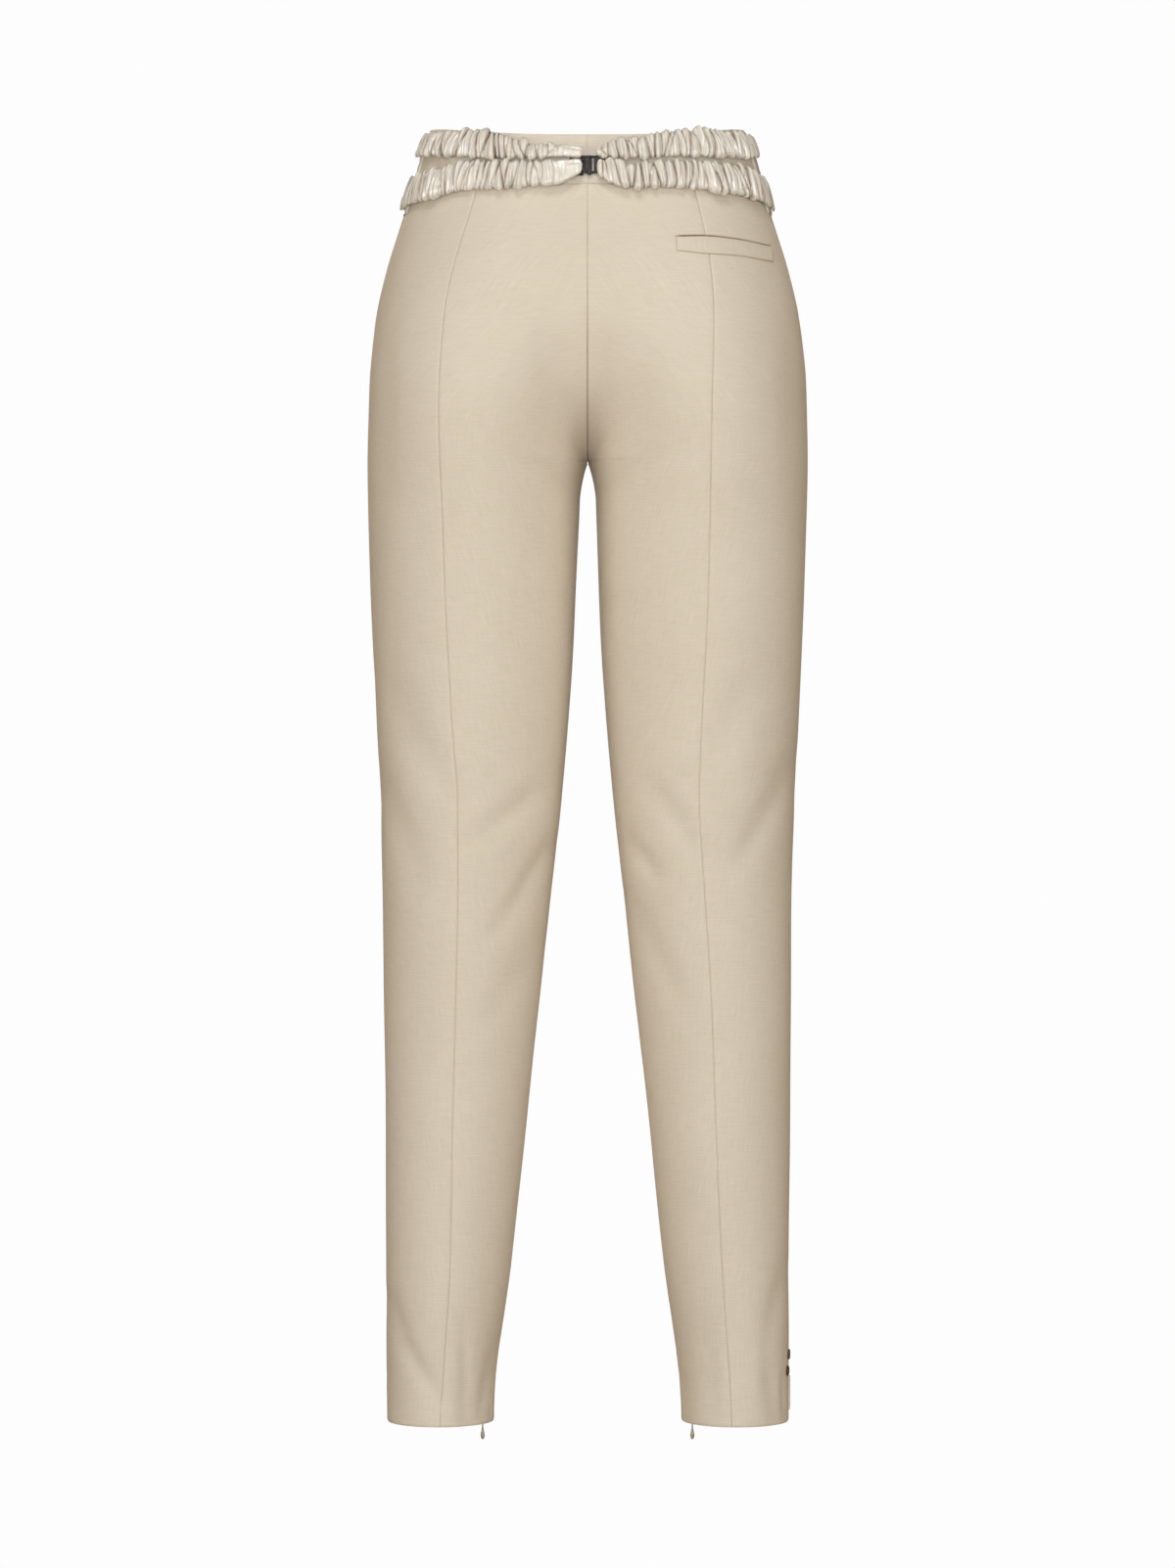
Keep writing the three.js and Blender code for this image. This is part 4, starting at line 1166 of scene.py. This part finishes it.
    def tube(self, name: str, outer: np.ndarray, inner: np.ndarray, along: np.ndarray,
             angles: np.ndarray, radius: float, crease: np.ndarray) -> bpy.types.Object:
        """Joins an outer and an inner tube at both ends into one thin wall, and stores the painted shade of
        its valleys.
        """
        rows, cols = outer.shape[:2]
        count = rows * cols
        points = np.concatenate([outer.reshape(-1, 3), inner.reshape(-1, 3)]) * [self.side.value, 1, 1]
        n = np.arange(count).reshape(rows, cols)
        a, d = n[:-1], n[1:]
        b, c = np.roll(a, -1, axis=1), np.roll(d, -1, axis=1)
        faces = [np.stack([a, b, c, d], axis=-1).reshape(-1, 4),
                 np.stack([a, d, c, b], axis=-1).reshape(-1, 4) + count]
        first, last = n[0], n[-1]
        ahead = np.roll(first, -1)
        faces.append(np.stack([ahead, first, first + count, ahead + count], axis=-1))
        faces.append(np.stack([last, np.roll(last, -1), np.roll(last, -1) + count, last + count], axis=-1))
        quads = np.concatenate(faces)
        if self.side is Side.RIGHT:
            quads = quads[:, ::-1]
        uv = np.stack(np.broadcast_arrays(angles[None, :] * radius, along[:, None] * self.gather), axis=-1)
        piece = mesh_object(name, points, quads, np.concatenate([uv.reshape(-1, 2)] * 2))
        mark_creases(piece, crease)
        return piece


# ------------------------------------------------------------------ laid-on pieces
@dataclass
class LaidOn:
    """Small cloth pieces that follow the form: welt, tabs and the ankle's satin strip."""

    form: Form
    finishes: Finishes
    lift: float = 0.35
    welt_columns: int = 90
    welt_rows: int = 16

    def patch(self, name: str, side: Side, rows: int, cols: int,
              place: Callable[[float, float], tuple[float, float]],
              thickness: float, crown: float, node: str, material: bpy.types.Material, slot: str,
              lift: float, size: tuple[float, float]) -> bpy.types.Object:
        """Builds a thin crowned piece from places on the form.

        Args:
            name: the piece's name.
            side: the side of the wearer.
            rows: how many rows of points.
            cols: how many columns.
            place: gives (t, z) at fractions up and across the piece.
            thickness: the piece's wall.
            crown: how much fuller its middle is than its edges.
            node: the CAD node that it stands for.
            material: its finish.
            slot: not used.
            lift: its clearance above the cloth.
            size: its width and height, for the weave.

        Returns:
            The piece.
        """
        f = self.form
        low, high, uv = [], [], []
        us = (1 - np.cos(np.linspace(0, math.pi, rows))) / 2
        vs = np.linspace(0, 1, cols)
        for u in us:
            for v in vs:
                t, z = place(float(u), float(v))
                point = f.row(np.array([t]), z)[0]
                normal = f.normal(t, z)
                edge = min(u, 1 - u, 8 * v, 8 * (1 - v))
                full = crown * float(quarter_turn(edge * 4))
                low.append(point + normal * lift)
                high.append(point + normal * (lift + thickness * 0.5 + thickness * 0.5 * float(
                    quarter_turn(edge * 12)) + full))
                uv.append((v * size[0], u * size[1]))
        shape = (rows, cols, 3)
        piece = shell(name, np.array(high).reshape(shape), np.array(low).reshape(shape),
                      np.array(uv).reshape(rows, cols, 2), side)
        dress(piece, material)
        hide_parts(node)
        return piece

    def build(self) -> None:
        """Builds them all."""
        f = self.form

        def on_welt(u: float, v: float) -> tuple[float, float]:
            """A place on the welt."""
            x = mix(141.0, 67.0, v)
            z = mix(float(WELT("bottom", x)), float(WELT("top", x)), u)
            level = f.level_of(z, lambda at: f.back_t(x, at))
            return f.back_t(x, level), level

        piece = self.patch("welt", Side.RIGHT, self.welt_rows, self.welt_columns, on_welt, 1.0, 0.7,
                           "pocket_welt", self.finishes.wool, "wool", self.lift, (88, 12.8))
        for side in Side:
            def on_tab(u: float, v: float) -> tuple[float, float]:
                """A place on a side tab."""
                z = mix(-45.0, 18.0, u)
                return f.turn_t(mix(106.0, 73.0, v), z), z

            piece = self.patch(f"tab_{side.word}", side, 24, 20, on_tab, 0.9, 0.25,
                               f"side_tab_{side.word}", self.finishes.satin, "satin", 0.6, (64, 65))

        def on_slit(u: float, v: float) -> tuple[float, float]:
            """A place on the ankle's satin strip."""
            z = mix(-967.0, -940.5, u)
            y = mix(4.0, 10.0, v)
            return f.t_where(lambda p: p[:, 1] - y, z, 0.35, 0.7), z

        piece = self.patch("slit_satin", Side.RIGHT, 16, 10, on_slit, 0.8, 0.3,
                           "ankle_slit_satin", self.finishes.satin, "satin", self.lift, (10, 27))


def row_group() -> bpy.types.NodeTree:
    """Builds the tree that sets one small rounded part on each point of a row.

    Returns:
        A geometry node group with Length, Width, Height, Variation, Seed and Finish inputs.
    """
    tree = bpy.data.node_groups.new("row_of_parts", "GeometryNodeTree")
    face = tree.interface
    face.new_socket("Geometry", in_out="INPUT", socket_type="NodeSocketGeometry")
    for name in ("Length", "Width", "Height", "Variation"):
        face.new_socket(name, in_out="INPUT", socket_type="NodeSocketFloat")
    face.new_socket("Seed", in_out="INPUT", socket_type="NodeSocketInt")
    face.new_socket("Finish", in_out="INPUT", socket_type="NodeSocketMaterial")
    face.new_socket("Geometry", in_out="OUTPUT", socket_type="NodeSocketGeometry")
    n = Nodes(tree)
    source = n.add("NodeGroupInput")
    ball = n.add("GeometryNodeMeshUVSphere", {"Segments": 8, "Rings": 4, "Radius": 0.5})
    size = n.add("ShaderNodeCombineXYZ", {0: source.outputs["Length"], 1: source.outputs["Width"],
                                          2: source.outputs["Height"]})
    part = n.add("GeometryNodeTransform", {"Geometry": ball.outputs["Mesh"], "Scale": size.outputs[0]})
    along = n.add("GeometryNodeInputNamedAttribute", {"Name": "along"}, data_type="FLOAT_VECTOR")
    out = n.add("GeometryNodeInputNamedAttribute", {"Name": "out"}, data_type="FLOAT_VECTOR")
    first = n.add("FunctionNodeAlignRotationToVector", {"Vector": along.outputs["Attribute"]}, axis="X")
    second = n.add("FunctionNodeAlignRotationToVector",
                   {"Rotation": first.outputs[0], "Vector": out.outputs["Attribute"]},
                   axis="Z", pivot_axis="X")
    low = n.math("SUBTRACT", 1.0, source.outputs["Variation"])
    high = n.math("ADD", 1.0, source.outputs["Variation"])
    vary = n.add("FunctionNodeRandomValue", data_type="FLOAT")
    for key, value in (("Min", low), ("Max", high), ("Seed", source.outputs["Seed"])):
        socket = next(i for i in vary.inputs if i.name == key and i.enabled)
        tree.links.new(value, socket)
    amount = next(o for o in vary.outputs if o.enabled)
    points = n.add("GeometryNodeMeshToPoints", {"Mesh": source.outputs["Geometry"]})
    row = n.add("GeometryNodeInstanceOnPoints", {
        "Points": points.outputs[0], "Instance": part.outputs[0],
        "Rotation": second.outputs[0], "Scale": amount})
    real = n.add("GeometryNodeRealizeInstances", {"Geometry": row.outputs[0]})
    finished = n.add("GeometryNodeSetMaterial", {"Geometry": real.outputs[0],
                                                 "Material": source.outputs["Finish"]})
    n.add("NodeGroupOutput", {"Geometry": finished.outputs[0]})
    return tree


@dataclass
class Rows:
    """Zip tapes with their teeth, and the stitching of the welt."""

    form: Form
    finishes: Finishes
    laid: LaidOn
    tooth: tuple[float, float, float] = (2.6, 0.8, 0.8)
    tooth_pitch: float = 1.25
    stitch: tuple[float, float, float] = (1.7, 0.42, 0.3)
    stitch_pitch: float = 2.5
    stitch_inset: float = 0.9
    stitch_lift: float = 1.75
    welt_ends: tuple[float, float] = (69.0, 140.0)
    ankle_depth: float = 3.75
    fly_depth: float = 2.75
    tape: float = 0.7
    group: bpy.types.NodeTree = field(init=False)

    def row(self, name: str, places: list, alongs: list, outs: list, size: tuple[float, float, float],
            material: bpy.types.Material, slot: str, seed: int) -> None:
        """Makes one row of small parts with the geometry nodes.

        Args:
            name: the piece's name.
            places: the parts' middles, in millimetres.
            alongs: each part's long direction.
            outs: each part's outward direction.
            size: length, width and height of a part, in millimetres.
            material: its finish.
            slot: not used.
            seed: the seed of their small variation.
        """
        mesh = bpy.data.meshes.new(name)
        mesh.from_pydata((np.array(places) * MM).tolist(), [], [])
        for key, values in (("along", alongs), ("out", outs)):
            layer = mesh.attributes.new(key, "FLOAT_VECTOR", "POINT")
            layer.data.foreach_set("vector", np.array(values, dtype=float).ravel())
        piece = bpy.data.objects.new(name, mesh)
        bpy.context.scene.collection.objects.link(piece)
        modifier = piece.modifiers.new("row", "NODES")
        modifier.node_group = self.group
        wanted = {"Length": size[0] * MM, "Width": size[1] * MM, "Height": size[2] * MM,
                  "Variation": 0.05, "Seed": seed, "Finish": material}
        for item in self.group.interface.items_tree:
            if item.in_out == "INPUT" and item.name in wanted:
                modifier[item.identifier] = wanted[item.name]
        depsgraph = bpy.context.evaluated_depsgraph_get()
        result = bpy.data.meshes.new_from_object(piece.evaluated_get(depsgraph))
        piece.modifiers.clear()
        piece.data = result
        result.name = name
        result.shade_smooth()
        dress(piece, material)

    def zip(self, name: str, node: str, side: Side, half: float, low: float, high: float,
            depth: float, teeth_from: float, seed: int) -> None:
        """Builds one zip's tape and teeth on the inside of the cloth, about t = 0."""
        f = self.form

        def on_tape(u: float, v: float) -> tuple[float, float]:
            """A place on the tape."""
            z = mix(low, high, u)
            return mix(half, -half, v) / f.cut(z)[2], z

        tape = self.laid.patch(f"{name}_tape", side, 60, 14, on_tape, self.tape, 0.0, node,
                               self.finishes.tape, "zip_tape", -depth, (2 * half, high - low))
        places, alongs, outs = [], [], []
        mirror = np.array([side.value, 1, 1])
        for z in np.arange(teeth_from, high - 1, self.tooth_pitch):
            place = f.row(np.array([0.0]), z)[0]
            outward = f.normal(0.0, z)
            round_way = np.cross(outward, [0, 0, 1])
            places.append((place - outward * (depth + 0.25)) * mirror)
            alongs.append(round_way * mirror)
            outs.append(outward * mirror)
        self.row(f"{name}_teeth", places, alongs, outs, self.tooth, self.finishes.zip, "zip_metal", seed)

    def welt_stitches(self) -> None:
        """Sews the welt's lower edge."""
        f = self.form
        first, last = self.welt_ends
        places, alongs, outs = [], [], []
        for x in np.arange(first, last, self.stitch_pitch):
            z = float(WELT("bottom", x)) + self.stitch_inset
            level = f.level_of(z, lambda at, x=x: f.back_t(x, at))
            t = f.back_t(x, level)
            outward = f.normal(t, level)
            ahead = f.row(np.array([f.back_t(x + 1, level)]), level)[0] - f.row(np.array([t]), level)[0]
            point = f.row(np.array([t]), level)[0] + outward * self.stitch_lift
            places.append(point * [-1, 1, 1])
            alongs.append(ahead * [-1, 1, 1])
            outs.append(outward * [-1, 1, 1])
        self.row("welt_stitches", places, alongs, outs, self.stitch, self.finishes.wool, "wool", 5)

    def build(self) -> None:
        """Builds them all."""
        self.group = row_group()
        self.zip("fly_zip", "fly_zip", Side.LEFT, 13.0, -150.0, -22.0, self.fly_depth, -146.0, 3)
        for side in Side:
            self.zip(f"ankle_zip_{side.word}", f"ankle_zip_{side.word}", side, 8.0, -974.5, -868.0,
                     self.ankle_depth, -964.5, 7)
        self.welt_stitches()


@dataclass
class HardParts:
    """Clasp, zip sliders, zip pulls and buttons: the CAD shapes with rounded edges."""

    frame: dict
    finishes: Finishes

    def refined(self, node: str, name: str, bevel: float, material: bpy.types.Material,
                body: str = "root") -> bpy.types.Object:
        """Copies a node's mesh, rounds its edges and lets it stand for the node."""
        mesh = self.frame["nodes"][node].data.copy()
        mesh.name = name
        edit = bmesh.new()
        edit.from_mesh(mesh)
        bmesh.ops.remove_doubles(edit, verts=edit.verts, dist=1e-6)
        bmesh.ops.dissolve_limit(edit, angle_limit=0.01, verts=edit.verts, edges=edit.edges)
        edit.to_mesh(mesh)
        edit.free()
        mesh.materials.clear()
        piece = bpy.data.objects.new(name, mesh)
        bpy.context.scene.collection.objects.link(piece)
        rounding = piece.modifiers.new("rounded", "BEVEL")
        rounding.width = bevel * MM
        rounding.segments = 3
        rounding.limit_method = "ANGLE"
        rounding.angle_limit = math.radians(35)
        depsgraph = bpy.context.evaluated_depsgraph_get()
        result = bpy.data.meshes.new_from_object(piece.evaluated_get(depsgraph))
        piece.modifiers.clear()
        piece.data = result
        result.shade_smooth()
        dress(piece, material, body)
        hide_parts(node)
        return piece

    def build(self) -> None:
        """Builds them all."""
        f = self.finishes
        self.refined("clasp_loop", "clasp_loop_metal", 0.35, f.clasp)
        self.refined("clasp_hook", "clasp_hook_metal", 0.3, f.clasp)
        for word in ("upper", "lower"):
            self.refined(f"ankle_button_{word}", f"button_{word}", 0.35, f.horn)
        for side in Side:
            self.refined(f"zip_slider_{side.word}", f"slider_{side.word}", 0.12, f.zip)
            self.refined(f"zip_pull_{side.word}", f"pull_{side.word}", 0.14, f.zip,
                         f"pull_{side.word}")


# ------------------------------------------------------------------ studio
@dataclass
class Studio:
    """Camera, lights and a pale sweep."""

    middle: float = -0.484
    distance: float = 4.5
    shown_height: float = 1.2127
    sensor: float = 36.0

    def camera(self) -> None:
        """Places the camera straight behind the wearer."""
        data = bpy.data.cameras.new("camera")
        data.sensor_width = self.sensor
        data.lens = self.sensor * self.distance / self.shown_height
        camera = bpy.data.objects.new("camera", data)
        camera.location = (0, self.distance, self.middle)
        camera.rotation_euler = (math.radians(90), 0, math.radians(180))
        bpy.context.scene.collection.objects.link(camera)
        bpy.context.scene.camera = camera

    def area(self, name: str, place: Sequence[float], size: float, power: float,
             colour: Sequence[float] = (1, 1, 1)) -> None:
        """Adds a soft square light that faces the trousers."""
        data = bpy.data.lights.new(name, "AREA")
        data.shape = "SQUARE"
        data.size = size
        data.energy = power
        data.color = colour
        light = bpy.data.objects.new(name, data)
        light.location = place
        aim = Vector((0, 0, self.middle)) - Vector(place)
        light.rotation_euler = aim.to_track_quat("-Z", "Y").to_euler()
        bpy.context.scene.collection.objects.link(light)

    def sweep(self) -> None:
        """Adds the pale floor that curves up all round."""
        floor, radius, rise = -1.12, 3.5, 3.0
        mesh = bpy.data.meshes.new("sweep")
        edit = bmesh.new()
        rings = []
        profile = [(0.01, 0.0)] + [(radius, 0.0)]
        profile += [(radius + rise * math.sin(a), rise - rise * math.cos(a))
                    for a in np.linspace(0.05, math.pi / 2, 16)]
        profile.append((radius + rise, rise + 3.5))
        for r, h in profile:
            rings.append([edit.verts.new((r * 2 * math.cos(b), r * 2 * math.sin(b), floor + h))
                          for b in np.linspace(0, 2 * math.pi, 48, endpoint=False)])
        for low, high in zip(rings[:-1], rings[1:]):
            for k in range(48):
                edit.faces.new([low[k], low[(k + 1) % 48], high[(k + 1) % 48], high[k]])
        edit.faces.new(list(reversed(rings[0])))
        edit.to_mesh(mesh)
        edit.free()
        mesh.shade_smooth()
        sweep = bpy.data.objects.new("sweep", mesh)
        bpy.context.scene.collection.objects.link(sweep)
        material = bpy.data.materials.new("pale_sweep")
        material.use_nodes = True
        n = Nodes(material.node_tree)
        seen = n.add("ShaderNodeLightPath")
        glow = n.add("ShaderNodeEmission", {"Color": (0.985, 0.985, 0.985, 1), "Strength": 1.0})
        paper = n.add("ShaderNodeBsdfDiffuse", {"Color": (0.42, 0.345, 0.265, 1)})
        both = n.add("ShaderNodeMixShader", {0: seen.outputs["Is Camera Ray"], 1: paper.outputs[0],
                                             2: glow.outputs[0]})
        n.add("ShaderNodeOutputMaterial", {"Surface": both.outputs[0]})
        mesh.materials.append(material)

    def build(self) -> None:
        """Builds the studio."""
        self.camera()
        self.sweep()
        self.area("key", (-0.2, 4.7, 0.15), 2.0, 66, (0.93, 0.97, 1.0))
        self.area("fill", (0.6, 4.7, -0.9), 2.4, 56, (0.96, 0.98, 1.0))
        self.area("left", (3.2, 2.2, -0.35), 1.6, 31, (1.0, 0.9, 0.74))
        self.area("right", (-3.2, 2.2, -0.35), 1.6, 31, (1.0, 0.9, 0.74))
        self.area("top", (0.25, 2.4, 2.3), 1.0, 32, (1.0, 0.97, 0.93))
        self.area("front", (0.4, -4.7, 0.5), 2.4, 75, (0.97, 0.98, 1.0))
        world = bpy.data.worlds.new("studio")
        bpy.context.scene.world = world
        world.use_nodes = True
        back = world.node_tree.nodes["Background"]
        back.inputs[0].default_value = (1.0, 0.8, 0.58, 1)
        back.inputs[1].default_value = 0.2
        bpy.context.scene.view_settings.view_transform = "Standard"


def main() -> None:
    """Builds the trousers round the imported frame."""
    logging.basicConfig(level=logging.INFO, format="%(name)s %(message)s")
    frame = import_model()
    finishes = Finishes.make()
    form = Form()
    Studio().build()
    HardParts(frame, finishes).build()
    Cloth(form, finishes).build()
    laid = LaidOn(form, finishes)
    laid.build()
    Rows(form, finishes, laid).build()
    for side in Side:
        SatinBand(form, finishes, side, True, 11 if side is Side.LEFT else 23,
                  17.0 if side is Side.LEFT else 5.0).build()
        SatinBand(form, finishes, side, False, 37 if side is Side.LEFT else 41,
                  21.0 if side is Side.LEFT else 5.0).build()


if __name__ == "__main__":
    main()
